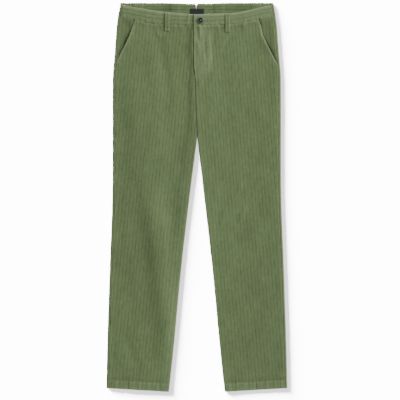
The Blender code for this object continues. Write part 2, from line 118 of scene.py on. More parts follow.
def slices(node, axis, places):
    # the least and the greatest of x (or y) where planes across y (or x) cut a solid
    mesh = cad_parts[node].data
    points = np.empty(len(mesh.vertices) * 3)
    mesh.vertices.foreach_get("co", points)
    points = points.reshape(-1, 3)
    ends = np.empty(len(mesh.edges) * 2, dtype=int)
    mesh.edges.foreach_get("vertices", ends)
    first, second = points[ends[0::2]], points[ends[1::2]]
    low = np.full(len(places), np.nan)
    high = np.full(len(places), np.nan)
    for index, place in enumerate(places):
        a, b = first[:, axis] - place, second[:, axis] - place
        hit = (a * b <= 0) & (np.abs(a - b) > 1e-9)
        if hit.any():
            share = a[hit] / (a[hit] - b[hit])
            found = blend(first[hit, 1 - axis], second[hit, 1 - axis], share)
            low[index], high[index] = found.min(), found.max()
    return low, high


gridStep = 2 * mm
stationGrid = np.arange(0.5 * mm, trouserLength + 20 * mm, gridStep)
acrossGrid = np.arange(0.5 * mm, cadHigh.x + 10 * mm, gridStep)


def filled(table, known, ahead=12):
    # carries a table on in a straight line past the places where it is known
    places = np.flatnonzero(known)
    table = np.interp(np.arange(len(table)), places, table[places])
    first, last = places[0], places[-1]
    rise = (table[first + ahead] - table[first]) / ahead
    table[:first] = table[first] + rise * np.arange(-first, 0)
    rise = (table[last] - table[last - ahead]) / ahead
    table[last + 1:] = table[last] + rise * np.arange(1, len(table) - last)
    return table


def smoothed(table, width):
    reach = int(width / gridStep)
    weights = np.hanning(2 * reach + 3)[1:-1]
    steps = np.arange(1, reach + 1)
    padded = np.concatenate([
        table[0] - (table[1] - table[0]) * steps[::-1],
        table,
        table[-1] + (table[-1] - table[-2]) * steps,
    ])
    return np.convolve(padded, weights / weights.sum(), "valid")


def reachTable(nodes, side, start, end, ahead=12):
    # nearest and farthest from the middle line, at each station between start and end
    near = np.full(len(stationGrid), np.nan)
    far = np.full(len(stationGrid), np.nan)
    for node in nodes:
        first, second = slices(node, 1, waistY - stationGrid)
        near = np.fmin(near, np.fmin(side * first, side * second))
        far = np.fmax(far, np.fmax(side * first, side * second))
    known = ~np.isnan(near) & (stationGrid > start) & (stationGrid < end)
    return filled(near, known, ahead), filled(far, known, ahead)


def seamTable(node, side, end=math.inf):
    # stations of a piece's upper and lower edge, at each distance across up to end
    low, high = slices(node, 0, side * acrossGrid)
    known = ~np.isnan(low) & (acrossGrid < end)
    return filled(waistY - high, known), filled(waistY - low, known)


outlining = {
    # worn pocket edges hang inward, most where a hand goes in
    "sag": {left: 2.2 * mm, right: 5.4 * mm},
    "sagSpan": (56 * mm, 96 * mm, 150 * mm, 176 * mm),
    # below the crotch the soft edges of the legs lie against each other
    "pressed": 0.4 * mm,
    "pressedSpan": (225 * mm, 285 * mm, 362 * mm, 382 * mm),
    "innerStart": {"front": 66 * mm, "back": 40 * mm},   # stations from which inner edges are read
    "bandSpare": 14 * mm,       # left out at the waistband's side, where its corner would bend the line
    "hemFrom": 82 * mm,         # the hem's edges are read from this far out, past its turned corner
}
outline = {}
for side, name in sideName.items():
    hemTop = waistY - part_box(f"hem_front_{name}")[1].y
    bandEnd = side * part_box(f"waistband_front_{name}")[0 if side == left else 1].x
    backFar = reachTable([f"waistband_back_{name}", f"back_{name}"], side, 0, hemTop)[1]
    inner = {}
    for panel, top in outlining["innerStart"].items():
        near = reachTable([f"{panel}_{name}", f"hem_{panel}_{name}"], side, top, trouserLength)[0]
        inner[panel] = near - outlining["pressed"] * window(stationGrid, *outlining["pressedSpan"])
    openEdge = reachTable([f"front_{name}"], side, 50 * mm, hemTop)[1]
    bandUpper, bandLower = seamTable(f"waistband_front_{name}", side, bandEnd - outlining["bandSpare"])
    hemUpper, hemLower = seamTable(f"hem_front_{name}", side)
    hemKnown = acrossGrid > outlining["hemFrom"]
    outline[side] = {
        "outer": smoothed(backFar, 24 * mm),
        "back": smoothed(inner["back"], 12 * mm),
        "front": smoothed(inner["front"], 12 * mm),
        "open": openEdge - outlining["sag"][side] * window(stationGrid, *outlining["sagSpan"]),
        "bandInner": reachTable([f"waistband_back_{name}"], side, 4 * mm, 37 * mm, 2)[0],
        "bandUpper": smoothed(bandUpper, 16 * mm),
        "bandLower": smoothed(bandLower, 16 * mm),
        "hemUpper": filled(hemUpper, hemKnown),
        "hemLower": filled(hemLower, hemKnown),
    }


def atStation(side, key, station):
    return np.interp(station, stationGrid, outline[side][key])


def atAcross(side, key, across):
    return np.interp(across, acrossGrid, outline[side][key])


midLeg = trouserLength * 0.4
sideInset = atStation(right, "outer", midLeg) - atStation(right, "open", midLeg)
wrapArc = math.pi * foldRadius        # the backs come round to the front at the sides
wrapStraight = sideInset - seamGap - foldRadius
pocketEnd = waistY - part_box("pocket_facing_left")[0].y + 16 * mm
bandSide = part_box("waistband_front_right")[1].x
print("outlines read")


def hemLine(side, facing, across):
    # the seam underneath lies a little lower, so that no line of sight passes both
    return atAcross(side, "hemUpper", across) + (0 if facing > 0 else 2.2 * mm)


# the form of the cloth

leg = {
    "rest": 6.1 * mm,           # outer face of a front panel where it lies on the back
    "crown": {left: 1.5 * mm, right: -0.8 * mm},
    "lowest": 4.7 * mm,         # no trough goes below this
    "edgeReach": 24 * mm,
    "riseEnd": 210 * mm,        # the centre seams turn down into the inseams from here
    "crotch": 305 * mm,
    "lip": 0.7 * mm,
    "wall": 1.9 * mm,
    "hemWall": 2.6 * mm,
    "hemRaise": 0.7 * mm,
    "wave": 0.45 * mm,          # unevenness all over
    "waistReach": 26 * mm,      # the waistband holds the cloth up this far down
    "softness": 0.6 * mm,       # of the bottom of a trough
    "drag": 0.75 * mm,
    "waistPucker": 0.36 * mm,
    "hemPucker": 0.4 * mm,
    "frontTop": 62.3 * mm,
    "fineEnd": 165 * mm,        # the rows of a front lie closer together down to here
}
band = {
    "level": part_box("waistband_front_left")[1].z - 0.4 * mm,
    "underLevel": 6.5 * mm,
    "overLevel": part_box("waistband_front_right")[1].z - 0.4 * mm,
    "crown": 0.9 * mm,
    "step": 0.7 * mm,
    "wall": 2.6 * mm,
    "overEnd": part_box("waistband_front_right")[0].x,
    "underEnd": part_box("waistband_front_left")[1].x,
    "pucker": 0.42 * mm,
    "backSeam": 37.5 * mm,
    "dip": 2.2 * mm,            # of the back waist edge at the centre
    "width": 31 * mm,
    "rounds": 4,                # in which a slanted edge and its station find each other
    "columns": {"front": 210, "back": 190, "wrapped": 18},
    # how round its edges are: the inner one is its lapped end
    "rolled": {"top": 1.4 * mm, "bottom": 0.5 * mm, "inner": 1.3 * mm, "outer": 1.0 * mm},
    "backRolled": {"top": 1.3 * mm, "bottom": 0.9 * mm, "inner": 1.2 * mm},
    # strength and width of the paler colour: wear, and along the top edge also painted highlight
    "paledAtEdges": {"top": (1.1, 2.6 * mm)},
    "seamRubbed": {"bottom": (0.7, 2.4 * mm)},
    "endRubbed": {"inner": (0.5, 2 * mm)},
    "backRubbed": {"top": (0.7, 2.4 * mm)},
    "wearAndHighlight": {left: 0.09, right: 0.15},
}
fly = {
    "width": 41 * mm,
    "turn": 172 * mm,           # station where the stitching curves in
    "turnLength": 40 * mm,
    "level": 8.8 * mm,
    "underLevel": 4.9 * mm,
    "edge": band["overEnd"],
    "facing": 38 * mm,
    "facingLevel": 6.2 * mm,
    "uneven": 0.4 * mm,
    "edgeDip": (0.8 * mm, 5 * mm),          # how deep and how wide its front edge is pressed
    "underSpan": (178 * mm, 215 * mm),      # the left front comes up again below the fly
}
loops = {
    "front": {left: -83 * mm, right: 86 * mm},
    "back": (62 * mm, 165 * mm),
    "width": 13 * mm,
    "length": 51 * mm,
    "backLength": 35 * mm,
    "start": 2.5 * mm,          # of a front loop, below the waist edge
    "wall": 1.6 * mm,
    "clear": 0.25 * mm,
    "rise": 1.3 * mm,           # the back waistband rides over the loops under it
    "bow": 0.5 * mm,
    "tacked": 0.35 * mm,        # how far its tacks press its ends down
    "rolled": {"sides": 1.1 * mm, "ends": 1 * mm},
    "backRolled": 0.6 * mm,
    "paledAtEdges": {"sides": (0.45, 1.6 * mm), "top": (0.4, 2.4 * mm), "bottom": (0.4, 2.4 * mm)},
}
pocket = {
    "raise": {left: 2.2 * mm, right: 1.9 * mm},
    "reach": 20 * mm,
    "dip": {left: 2.4 * mm, right: 2.4 * mm},
    "underlap": 13 * mm,
    "sink": 2.1 * mm,           # its lower end goes under the front
    "wall": 1.3 * mm,
    "gape": {left: 104 * mm, right: 112 * mm},   # station where the opening stands widest
    "slitShadeWidth": {left: 8.5 * mm, right: 5.6 * mm},
    "shade": {left: 0.13, right: 0.03},
    "paledAtEdges": {"outer": (0.6, 2 * mm), "top": (0.3, 2.4 * mm)},
    # painted shade inside the opening: station, reach and how dark
    "slitShades": {
        left: ((105 * mm, 24 * mm, 0.50), (144 * mm, 15 * mm, 0.42)),
        right: ((62 * mm, 8 * mm, 0.35), (132 * mm, 42 * mm, 0.9)),
    },
}

# crests and troughs of the folds, in mm: stations, x at each, width to the left and right, height
foldColumns = ("place", "stations", "xs", "leftWidth", "rightWidth", "height")
foldRows = (
    # by the fly
    (left, (50, 120, 223, 363, 459, 571, 660), (-26, -28, -31, -40, -55, -68, -76), 44, 17, -3.2),
    (left, (30, 110, 170), (-12, -12, -11), 13, 3, 2.6),                            # its rim
    (left, (150, 223, 320, 370), (-9, -9, -6, -4), 13, 4, 1.8),
    (left, (75, 160, 243, 355), (-109, -95, -81, -89), 16, 15, -1.9),              # under the belt loop
    (left, (100, 200, 310), (-50, -49, -53), 17, 17, 0.8),
    (left, (500, 700, 803, 915, 1030), (-137, -112, -96, -85, -80), 29, 36, 5.0),  # knee to hem
    (left, (545, 640, 760), (-126, -121, -110), 26, 40, 1.8),
    (left, (570, 650, 740, 815), (-96, -92, -89, -87), 7, 6, 0.5),
    (left, (200, 330, 480, 570), (-158, -156, -158, -152), 46, 42, 1.5),
    (left, (930, 985, 1041), (-201, -180, -159), 12, 13, -1.0),
    (left, (243, 400, 523), (-222, -215, -205), 26, 24, -1.2),                     # outer thigh
    (left, (56, 78, 102), (-124, -113, -101), 7, 6, 1.2),                          # pocket to belt loop
    (right, (243, 400, 560, 720), (112, 118, 121, 118), 46, 50, -1.3),
    (right, (500, 523, 545), (124, 116, 106), 7, 7, 1.7),                          # at the knee
    (right, (560, 585, 615), (142, 131, 117), 8, 7, 2.0),
    (right, (528, 545, 566), (102, 97, 89), 6, 6, 1.3),
    (right, (582, 600, 622), (84, 75, 64), 8, 7, 1.5),
    (right, (596, 640, 690), (176, 168, 158), 20, 22, 1.8),
    (right, (196, 216, 242), (17, 10, 2), 6, 8, 1.3),                              # below the fly
    (right, (92, 112, 132), (96, 84, 72), 5, 6, -1.2),                             # from the right loop
    ("fly", (58, 80, 104), (7, 9, 9), 3, 2.5, 1.4),                                  # down from the button
    ("fly", (76, 120, 158), (26, 23, 26), 5, 6, -1.1),
    ("fly", (100, 128, 150), (-2, 4, 2), 4, 4, 1.2),
    ("fly", (158, 178, 200), (24, 12, 2), 7, 6, 1.4),
    ("seat", (112, 186, 268), (-104, -66, -26), 12, 14, 1.1),                        # underneath
    ("seat", (150, 214, 276), (112, 72, 32), 14, 11, 1.0),
    ("seat", (300, 420, 545), (-150, -141, -150), 28, 34, 0.9),
    ("seat", (556, 596, 640), (-200, -162, -118), 10, 8, 1.1),
    ("seat", (606, 640, 668), (-182, -148, -116), 8, 11, 0.8),
    ("seat", (560, 592, 620), (112, 152, 188), 10, 9, 1.0),
    ("seat", (655, 800, 950), (-150, -128, -117), 20, 26, 1.0),
    ("seat", (690, 850, 1010), (152, 166, 171), 24, 19, 0.8),
)
folds = [dict(zip(foldColumns, row)) for row in foldRows]


def foldHeight(place, x, station):
    total = 0
    for number, fold in enumerate(folds):
        if fold["place"] != place:
            continue
        knots = [value * mm for value in fold["stations"]]
        crest = through(station, knots, [value * mm for value in fold["xs"]])
        crest = crest + 1.5 * mm * ripple(station / (38 * mm), number)
        fade = 0.32 * (knots[-1] - knots[0])
        share = window(station, knots[0] - 0.4 * fade, knots[0] + fade,
                       knots[-1] - fade, knots[-1] + 0.4 * fade)
        swell = 1 + 0.18 * ripple(station / (61 * mm), number + 3)
        width = np.where(x < crest, fold["leftWidth"], fold["rightWidth"]) * mm
        total = total + fold["height"] * mm * share * swell * bell(x - crest, width)
    return total


def unevenness(x, station, seed):
    return leg["wave"] * (
        0.6 * ripple(station / (83 * mm) + x / (140 * mm), seed) * ripple(x / (47 * mm), seed + 2)
        + 0.4 * ripple(station / (31 * mm) - x / (60 * mm), seed + 5, 3)
    )


def pucker(along, distance, seed, size, reach=7 * mm):
    return size * ripple(along / (3.1 * mm), seed, 3) * np.exp(-np.maximum(distance, 0) / reach)


def drag(x, below, seed):
    # the waist seam pulls short soft creases down into the cloth
    reach = 11 * mm + 7 * mm * ripple(x / (17 * mm), seed)
    creases = ripple(x / (6.5 * mm) - below / (40 * mm), seed + 1, 3)
    return leg["drag"] * creases * bell(below - 9 * mm, reach)


def bandLevel(side, x):
    level = blend(band["level"], 2 * foldRadius, bell(bandSide - side * x, leg["edgeReach"]))
    if side == left:
        return blend(level, band["underLevel"], ease(x, -44 * mm, -28 * mm))
    return blend(band["overLevel"], level, ease(x, band["underEnd"], 110 * mm))


def sideLine(side, station):
    return atStation(side, "outer", station) - sideInset


def flyCover(x, station):
    drop = np.maximum(station - fly["turn"], 0) / fly["turnLength"]
    return 1 - ease(np.hypot((x - fly["edge"]) / fly["width"], drop), 1, 1.35)


def pocketRaise(side, across, station):
    nearest = np.clip(station, 53 * mm, 150 * mm)
    gap = atStation(side, "open", nearest) - across
    middle = bell(nearest - pocket["gape"][side], 26 * mm)
    near = bell(np.hypot(gap, station - nearest), pocket["reach"])
    return pocket["raise"][side] * (0.12 + 0.88 * middle) * near


def innerRoll(station):
    return np.maximum(ease(station, leg["riseEnd"], leg["crotch"]), 0.02)


def frontLevel(side, across, station):
    # height of a front panel's outer face, away from its turned inner edge
    x = side * across
    inner = atStation(side, "front", station)
    outer = sideLine(side, station)
    share = np.clip((across - inner) / (outer - inner), 0, 1)
    level = leg["rest"] + leg["crown"][side] * np.sin(math.pi * share) + foldHeight(side, x, station)
    level = level + unevenness(x, station, side + 4)
    innerHold = bell(np.maximum(across - inner, 0), 0.6 * leg["edgeReach"])
    held = np.maximum(
        bell(np.maximum(outer - across, 0), leg["edgeReach"]),
        innerHold * ease(station, leg["riseEnd"], leg["crotch"]),
    )
    level = blend(level, 2 * foldRadius, held)
    spare = level - leg["lowest"]
    level = leg["lowest"] + (spare + np.sqrt(spare ** 2 + leg["softness"] ** 2)) / 2
    below = np.maximum(station - atAcross(side, "bandLower", across), 0)
    level = blend(level, bandLevel(side, x) - band["step"], bell(below, leg["waistReach"]))
    level = level + pocketRaise(side, across, station)
    if side == right:
        deep, wide = fly["edgeDip"]
        flyTop = fly["level"] + fly["uneven"] * ripple(station / (16 * mm) + x / (21 * mm), 3)
        flyTop = flyTop - deep * np.exp(-np.maximum(x - fly["edge"], 0) / wide)
        flyTop = flyTop + foldHeight("fly", x, station)
        level = blend(level, flyTop, flyCover(x, station))
    else:
        under = 1 - ease(across, -fly["edge"] - 7 * mm, -fly["edge"] + 3 * mm)
        under = under * (1 - ease(station, *fly["underSpan"]))
        level = blend(level, fly["underLevel"], under)
    level = level + pucker(x, below, side + 7, leg["waistPucker"]) + drag(x, below, side + 71)
    above = atAcross(side, "hemUpper", across) - station
    return level + pucker(x, above, side + 9, leg["hemPucker"], 9 * mm)


def turned(level, seamHeight, roll, share):
    # how far in, how high and how long round a turned edge: share 1 is the end of the bend, 2 the seam
    seamHeight = seamHeight + np.copysign(leg["wall"] * np.cos(roll * math.pi / 2), level - seamHeight)
    angle = roll * np.minimum(share, 1) * math.pi / 2
    lip = leg["lip"] * np.maximum(share - 1, 0)
    bendEnd = seamHeight + np.copysign(leg["lip"], level - seamHeight)
    inward = foldRadius / roll * np.sin(angle) + lip * np.cos(angle)
    height = level + (bendEnd - level) / roll * (1 - np.cos(angle))
    height = height + np.copysign(lip, seamHeight - level) * np.sin(angle)
    return inward, height, foldRadius * angle / roll + lip


# the wales run down the legs: three grid lines to each

wales = {
    "pitch": 3.2 * mm,
    "lines": 3,
    "depth": {left: 0.31 * mm, right: 0.20 * mm},
    "slope": {left: 0.098, right: 0.079},   # the grain leans out towards the hems
    "station": 300 * mm,
}
waleStep = wales["pitch"] / wales["lines"]


def waleOf(side, across, station):
    return across - wales["slope"][side] * (station - wales["station"])


def edgeRows(start, end, step, closeStart=True, closeEnd=True):
    # nominal stations, close together at the seams
    close = np.array([0, 0.35, 0.8, 1.5, 2.6, 4.2, 6.5, 9.5, 13]) * mm
    close = close[close < 0.4 * (end - start)]
    first = start + close if closeStart else np.array([start])
    last = end - close[::-1] if closeEnd else np.array([end])
    count = max(int((last[0] - first[-1]) / step), 1)
    return np.concatenate([first, np.linspace(first[-1], last[0], count + 1)[1:-1], last])


settling = 12                   # rounds in which a slanted edge and its station find each other
softEdge = 1.2 * mm             # how far a plain edge is rounded


def panelGrid(side, facing, nominal, lines, level, turn, wrap):
    # a panel between its edge lines: across, station, height and distance across the wales, in rows
    top, bottom, inner, outer = (lines[edge] for edge in ("top", "bottom", "inner", "outer"))
    rows = nominal[:, None]
    share = (rows - nominal[0]) / (nominal[-1] - nominal[0])

    def stationOf(across):
        return rows + (top(across) - nominal[0]) * (1 - share) + (bottom(across) - nominal[-1]) * share

    def turnStart(station):
        return inner(station) + (turned(0, 0, innerRoll(station), 2)[0] if turn else softEdge)

    hold = foldRadius if wrap else softEdge
    reach = np.concatenate([waleOf(side, edge(nominal), nominal) for edge in (inner, outer)])
    first = math.floor(reach.min() / waleStep) - 8
    grain = (np.arange(first, math.ceil(reach.max() / waleStep) + 8) * waleStep)[None, :]
    station = rows + 0 * grain
    for _ in range(settling):
        across = grain + wales["slope"][side] * (station - wales["station"])
        across = np.clip(across, turnStart(station), outer(station) - hold)
        station = stationOf(across)
    height = level(across, station)
    flat = (across, station, height, waleOf(side, across, station))

    def column(place):
        # place gives across, height and the wale coordinate at a station
        station = rows + 0.0
        for _ in range(settling):
            across, height, wale = place(station)
            station = stationOf(across)
        return across, station, height, wale

    def innerPlace(share):
        def place(station):
            start = turnStart(station)
            if not turn:
                across = start - softEdge * share
                height = level(across, station) - facing * rounding(softEdge * (1 - share), softEdge)
                return across, height, waleOf(side, across, station)
            roll = innerRoll(station)
            seam = foldRadius + facing * 0.2 * mm
            inward, height, run = turned(level(start, station), seam, roll, 2 * share)
            whole = turned(0, 0, roll, 2)[0]
            height = height - facing * (1 - roll) * rounding(whole - inward, softEdge)
            return start - inward, height, waleOf(side, start, station) - run
        return place

    def outerPlace(share):
        def place(station):
            if not wrap:
                across = outer(station) - hold * (1 - share)
                height = level(across, station) - facing * rounding(hold * (1 - share), hold)
                return across, height, waleOf(side, across, station)
            start = outer(station) - foldRadius
            run = share * (wrapArc + wrapStraight)
            angle = np.minimum(run, wrapArc) / foldRadius
            back = np.maximum(run - wrapArc, 0)
            across = start + foldRadius * math.sin(angle) - back
            end = rounding(wrapStraight - back, 0.9 * mm) * (run > wrapArc)
            height = foldRadius * (1 - math.cos(angle)) - end + 0 * across
            return across, height, waleOf(side, start, station) + run
        return place

    innerShares = [1, 0.8, 0.5, 0.2]
    if turn:
        innerShares = [1, 0.86, 0.72, 0.6, 0.5, 0.42, 0.34, 0.26, 0.18, 0.09]
    outerShares = [0.2, 0.5, 0.8, 1]
    if wrap:
        outerShares = [*np.linspace(0.06, 0.94, 14), 0.97, 1]
    columns = [column(innerPlace(share)) for share in innerShares] + [flat]
    columns += [column(outerPlace(share)) for share in outerShares]
    return [np.concatenate([part[index] for part in columns], axis=1) for index in range(4)]


# turning grids into cloth

def meshOfGrid(name, side, across, station, height, wale, along, wearAndHighlight, shade):
    # neighbours in a row that share their place, past a slanted edge, become one vertex
    points = np.stack([side * across, waistY - station, height], axis=-1)
    apart = np.linalg.norm(np.diff(points, axis=1), axis=-1) > 0.01 * mm
    fresh = np.concatenate([np.ones((len(points), 1), bool), apart], axis=1)
    first = np.flatnonzero(fresh)
    index = np.cumsum(fresh).reshape(fresh.shape) - 1
    corners = (index[:-1, :-1], index[1:, :-1], index[1:, 1:], index[:-1, 1:])
    quads = np.stack(corners, axis=-1).reshape(-1, 4)
    faces = []
    for quad in quads.tolist():
        face = [vert for place, vert in enumerate(quad) if vert != quad[place - 1]]
        if len(set(face)) == len(face) and len(face) > 2:
            faces.append(face)
    mesh = bpy.data.meshes.new(name)
    mesh.from_pydata(points.reshape(-1, 3)[first].tolist(), [], faces)
    mesh.validate()
    loops = np.empty(len(mesh.loops), dtype=int)
    mesh.loops.foreach_get("vertex_index", loops)
    grain = np.stack([wale.reshape(-1)[first], along.reshape(-1)[first]], axis=-1)
    mesh.uv_layers.new(name="grain").data.foreach_set("uv", grain[loops].reshape(-1))
    for label, values in (("wearAndHighlight", wearAndHighlight), ("shade", shade), ("wale", wale)):
        attribute = mesh.attributes.new(label, "FLOAT", "POINT")
        attribute.data.foreach_set("value", (values + 0 * across).reshape(-1)[first].astype(np.float32))
    mesh.update()
    return mesh


class Wire:
    # a node's socket that takes part in Python sums
    def __init__(self, graph, socket):
        self.graph, self.socket = graph, socket

    def math(self, operation, first, second=0.0):
        return self.graph.add("ShaderNodeMath", {"operation": operation}, {0: first, 1: second})

    def __add__(self, other):
        return self.math("ADD", self, other)

    def __radd__(self, other):
        return self.math("ADD", other, self)

    def __sub__(self, other):
        return self.math("SUBTRACT", self, other)

    def __rsub__(self, other):
        return self.math("SUBTRACT", other, self)

    def __mul__(self, other):
        return self.math("MULTIPLY", self, other)

    def __rmul__(self, other):
        return self.math("MULTIPLY", other, self)

    def __truediv__(self, other):
        return self.math("DIVIDE", self, other)

    def __pow__(self, other):
        return self.math("POWER", self, other)

    def cosine(self):
        return self.math("COSINE", self)


class Graph:
    # a node tree, filled in one line a node
    def __init__(self, tree):
        self.tree = tree
        self.tree.nodes.clear()

    def add(self, kind, settings, sockets, out=0):
        node = self.tree.nodes.new(kind)
        for key, value in settings.items():
            setattr(node, key, value)
        for key, value in sockets.items():
            if isinstance(key, str):
                socket = next(each for each in node.inputs if each.name == key and each.enabled)
            else:
                socket = node.inputs[key]
            if isinstance(value, Wire):
                self.tree.links.new(value.socket, socket)
            else:
                socket.default_value = value
        if not node.outputs:
            return node
        socket = node.outputs[out]
        if isinstance(out, int) and not socket.enabled:
            socket = next(each for each in node.outputs if each.enabled)
        return Wire(self, socket)


def nodeGroup(name, inputs):
    # a Geometry Nodes tree with named inputs: (graph, its inputs as wires)
    tree = bpy.data.node_groups.new(name, "GeometryNodeTree")
    tree.interface.new_socket("Geometry", in_out="INPUT", socket_type="NodeSocketGeometry")
    tree.interface.new_socket("Geometry", in_out="OUTPUT", socket_type="NodeSocketGeometry")
    for label, kind in inputs.items():
        tree.interface.new_socket(label, in_out="INPUT", socket_type="NodeSocket" + kind)
    graph = Graph(tree)
    node = tree.nodes.new("NodeGroupInput")
    wires = {socket.name: Wire(graph, socket) for socket in node.outputs if socket.name}
    return graph, wires


def closeGroup(graph, geometry, material, chosen=True):
    # ends a tree in real geometry with its material
    real = graph.add("GeometryNodeRealizeInstances", {}, {"Geometry": geometry})
    painted = graph.add("GeometryNodeSetMaterial", {}, {
        "Geometry": real, "Material": material, "Selection": chosen,
    })
    graph.add("NodeGroupOutput", {}, {0: painted})
    return graph.tree


def addNodes(obj, tree, values):
    modifier = obj.modifiers.new(tree.name, "NODES")
    modifier.node_group = tree
    for socket in tree.interface.items_tree:
        if socket.in_out == "INPUT" and socket.name in values:
            modifier[socket.identifier] = values[socket.name]


def settle(obj):
    # makes the modifiers' result the object's own mesh
    depsgraph = bpy.context.evaluated_depsgraph_get()
    evaluated = obj.evaluated_get(depsgraph)
    mesh = bpy.data.meshes.new_from_object(evaluated, preserve_all_data_layers=True, depsgraph=depsgraph)
    obj.modifiers.clear()
    obj.data = mesh


def smooth(obj, sharpest):
    obj.data.shade_smooth()
    obj.data.set_sharp_from_angle(angle=math.radians(sharpest))


def newObject(name, data):
    obj = bpy.data.objects.new(name, data)
    bpy.context.scene.collection.objects.link(obj)
    return obj


def stretched(graph, vector, factors):
    return graph.add("ShaderNodeVectorMath", {"operation": "MULTIPLY"}, {0: vector, 1: factors})


def hollow(phase, power):
    # 1 in the middle of a groove and 0 between two
    return ((phase.cosine() + 1) * 0.5) ** power


def waleTree():
    # presses the grooves of the corduroy into a panel, every third one deeper
    graph, wires = nodeGroup("wales", {
        "Pitch": "Float", "Depth": "Float", "Third": "Float", "Wander": "Float", "Lining": "Float",
        "Material": "Material",
    })
    wale = graph.add("GeometryNodeInputNamedAttribute", {"data_type": "FLOAT"}, {"Name": "wale"})
    inside = graph.add("GeometryNodeInputNamedAttribute", {"data_type": "FLOAT"}, {"Name": "inside"})
    phase = wale / wires["Pitch"] * math.tau
    groove, third = hollow(phase, 1.4), hollow(phase / 3, 3)
    place = graph.add("GeometryNodeInputPosition", {}, {})
    noise = graph.add("ShaderNodeTexNoise", {"noise_dimensions": "3D"}, {
        "Vector": stretched(graph, place, (260, 45, 45)), "Scale": 1.0, "Detail": 2.0,
    })
    depth = wires["Depth"] * groove * (1 + wires["Third"] * third) * (1 + wires["Wander"] * (noise - 0.5))
    depth = depth * (1 - inside * (1 - wires["Lining"]))
    normal = graph.add("GeometryNodeInputNormal", {}, {})
    offset = graph.add("ShaderNodeVectorMath", {"operation": "SCALE"}, {"Vector": normal, "Scale": 0 - depth})
    moved = graph.add("GeometryNodeSetPosition", {}, {"Geometry": wires["Geometry"], "Offset": offset})
    slot = graph.add("GeometryNodeInputMaterialIndex", {}, {})
    return closeGroup(graph, moved, wires["Material"], slot.math("LESS_THAN", slot, 1.0))


def stitchTree():
    # small rounded stitches laid along paths, or across them
    graph, wires = nodeGroup("stitches", {
        "Pitch": "Float", "Length": "Float", "Thread": "Float", "Turn": "Float", "Wander": "Float",
        "Up": "Vector", "Seed": "Int", "Material": "Material",
    })
    curve = graph.add("GeometryNodeMeshToCurve", {}, {"Mesh": wires["Geometry"]})
    points = graph.add("GeometryNodeResampleCurve", {"mode": "LENGTH"}, {
        "Curve": curve, "Length": wires["Pitch"],
    })
    tangent = graph.add("GeometryNodeInputTangent", {}, {})
    aligned = graph.add("FunctionNodeAlignRotationToVector", {"axis": "X"}, {"Vector": tangent})
    upright = graph.add("FunctionNodeAlignRotationToVector", {"axis": "Z", "pivot_axis": "X"}, {
        "Rotation": aligned, "Vector": wires["Up"],
    })
    sway = graph.add("FunctionNodeRandomValue", {"data_type": "FLOAT"}, {
        "Min": 0 - wires["Wander"], "Max": wires["Wander"], "Seed": wires["Seed"],
    })
    turn = graph.add("ShaderNodeCombineXYZ", {}, {"Z": wires["Turn"] + sway})
    euler = graph.add("FunctionNodeEulerToRotation", {}, {"Euler": turn})
    rotation = graph.add("FunctionNodeRotateRotation", {"rotation_space": "LOCAL"}, {
        "Rotation": upright, "Rotate By": euler,
    })
    ball = graph.add("GeometryNodeMeshUVSphere", {}, {"Segments": 6, "Rings": 4, "Radius": 0.5})
    size = graph.add("ShaderNodeCombineXYZ", {}, {
        "X": wires["Length"], "Y": wires["Thread"], "Z": wires["Thread"] * 0.8,
    })
    stitch = graph.add("GeometryNodeTransform", {}, {"Geometry": ball, "Scale": size})
    rounded = graph.add("GeometryNodeSetShadeSmooth", {}, {"Geometry": stitch})
    swell = graph.add("FunctionNodeRandomValue", {"data_type": "FLOAT"}, {
        "Min": 0.88, "Max": 1.1, "Seed": wires["Seed"] + 1,
    })
    placed = graph.add("GeometryNodeInstanceOnPoints", {}, {
        "Points": points, "Instance": rounded, "Rotation": rotation, "Scale": swell,
    })
    return closeGroup(graph, placed, wires["Material"])


# materials

def newMaterial(name, fixed):
    material = bpy.data.materials.new(name)
    material.use_nodes = True
    graph = Graph(material.node_tree)
    surface = graph.tree.nodes.new("ShaderNodeBsdfPrincipled")
    for key, value in fixed.items():
        surface.inputs[key].default_value = value
    graph.add("ShaderNodeOutputMaterial", {}, {"Surface": Wire(graph, surface.outputs[0])})
    return material, graph, surface


def mixColour(graph, share, first, second):
    return graph.add("ShaderNodeMix", {"data_type": "RGBA"}, {0: share, 6: first, 7: second}, 2)


def noiseAt(graph, vector, scale, detail=2.0, rough=0.5):
    return graph.add("ShaderNodeTexNoise", {}, {
        "Vector": vector, "Scale": scale, "Detail": detail, "Roughness": rough,
    })


def clamped(graph, value, top=1.0):
    return graph.add("ShaderNodeClamp", {}, {"Value": value, "Max": top})


def objectPlace(graph):
    return graph.add("ShaderNodeTexCoord", {}, {}, "Object")


def split(graph, vector):
    # the x and the y of a vector
    first = graph.add("ShaderNodeSeparateXYZ", {}, {0: vector})
    return first, Wire(graph, first.socket.node.outputs[1])


def feed(graph, surface, key, wire):
    graph.tree.links.new(wire.socket, surface.inputs[key])


def feedBump(graph, surface, strength, distance, height):
    bump = graph.add("ShaderNodeBump", {}, {"Strength": strength, "Distance": distance, "Height": height})
    feed(graph, surface, "Normal", bump)


corduroy = {
    "deep": (0.048, 0.070, 0.026, 1),     # painted shade down in the grooves
    "nap": (0.138, 0.191, 0.087, 1),      # on the wales
    "pale": (0.215, 0.275, 0.145, 1),     # rubbed seams and edges, and painted highlights along some edges
    "roughness": 0.94,
    "sheen": 0.35,
}


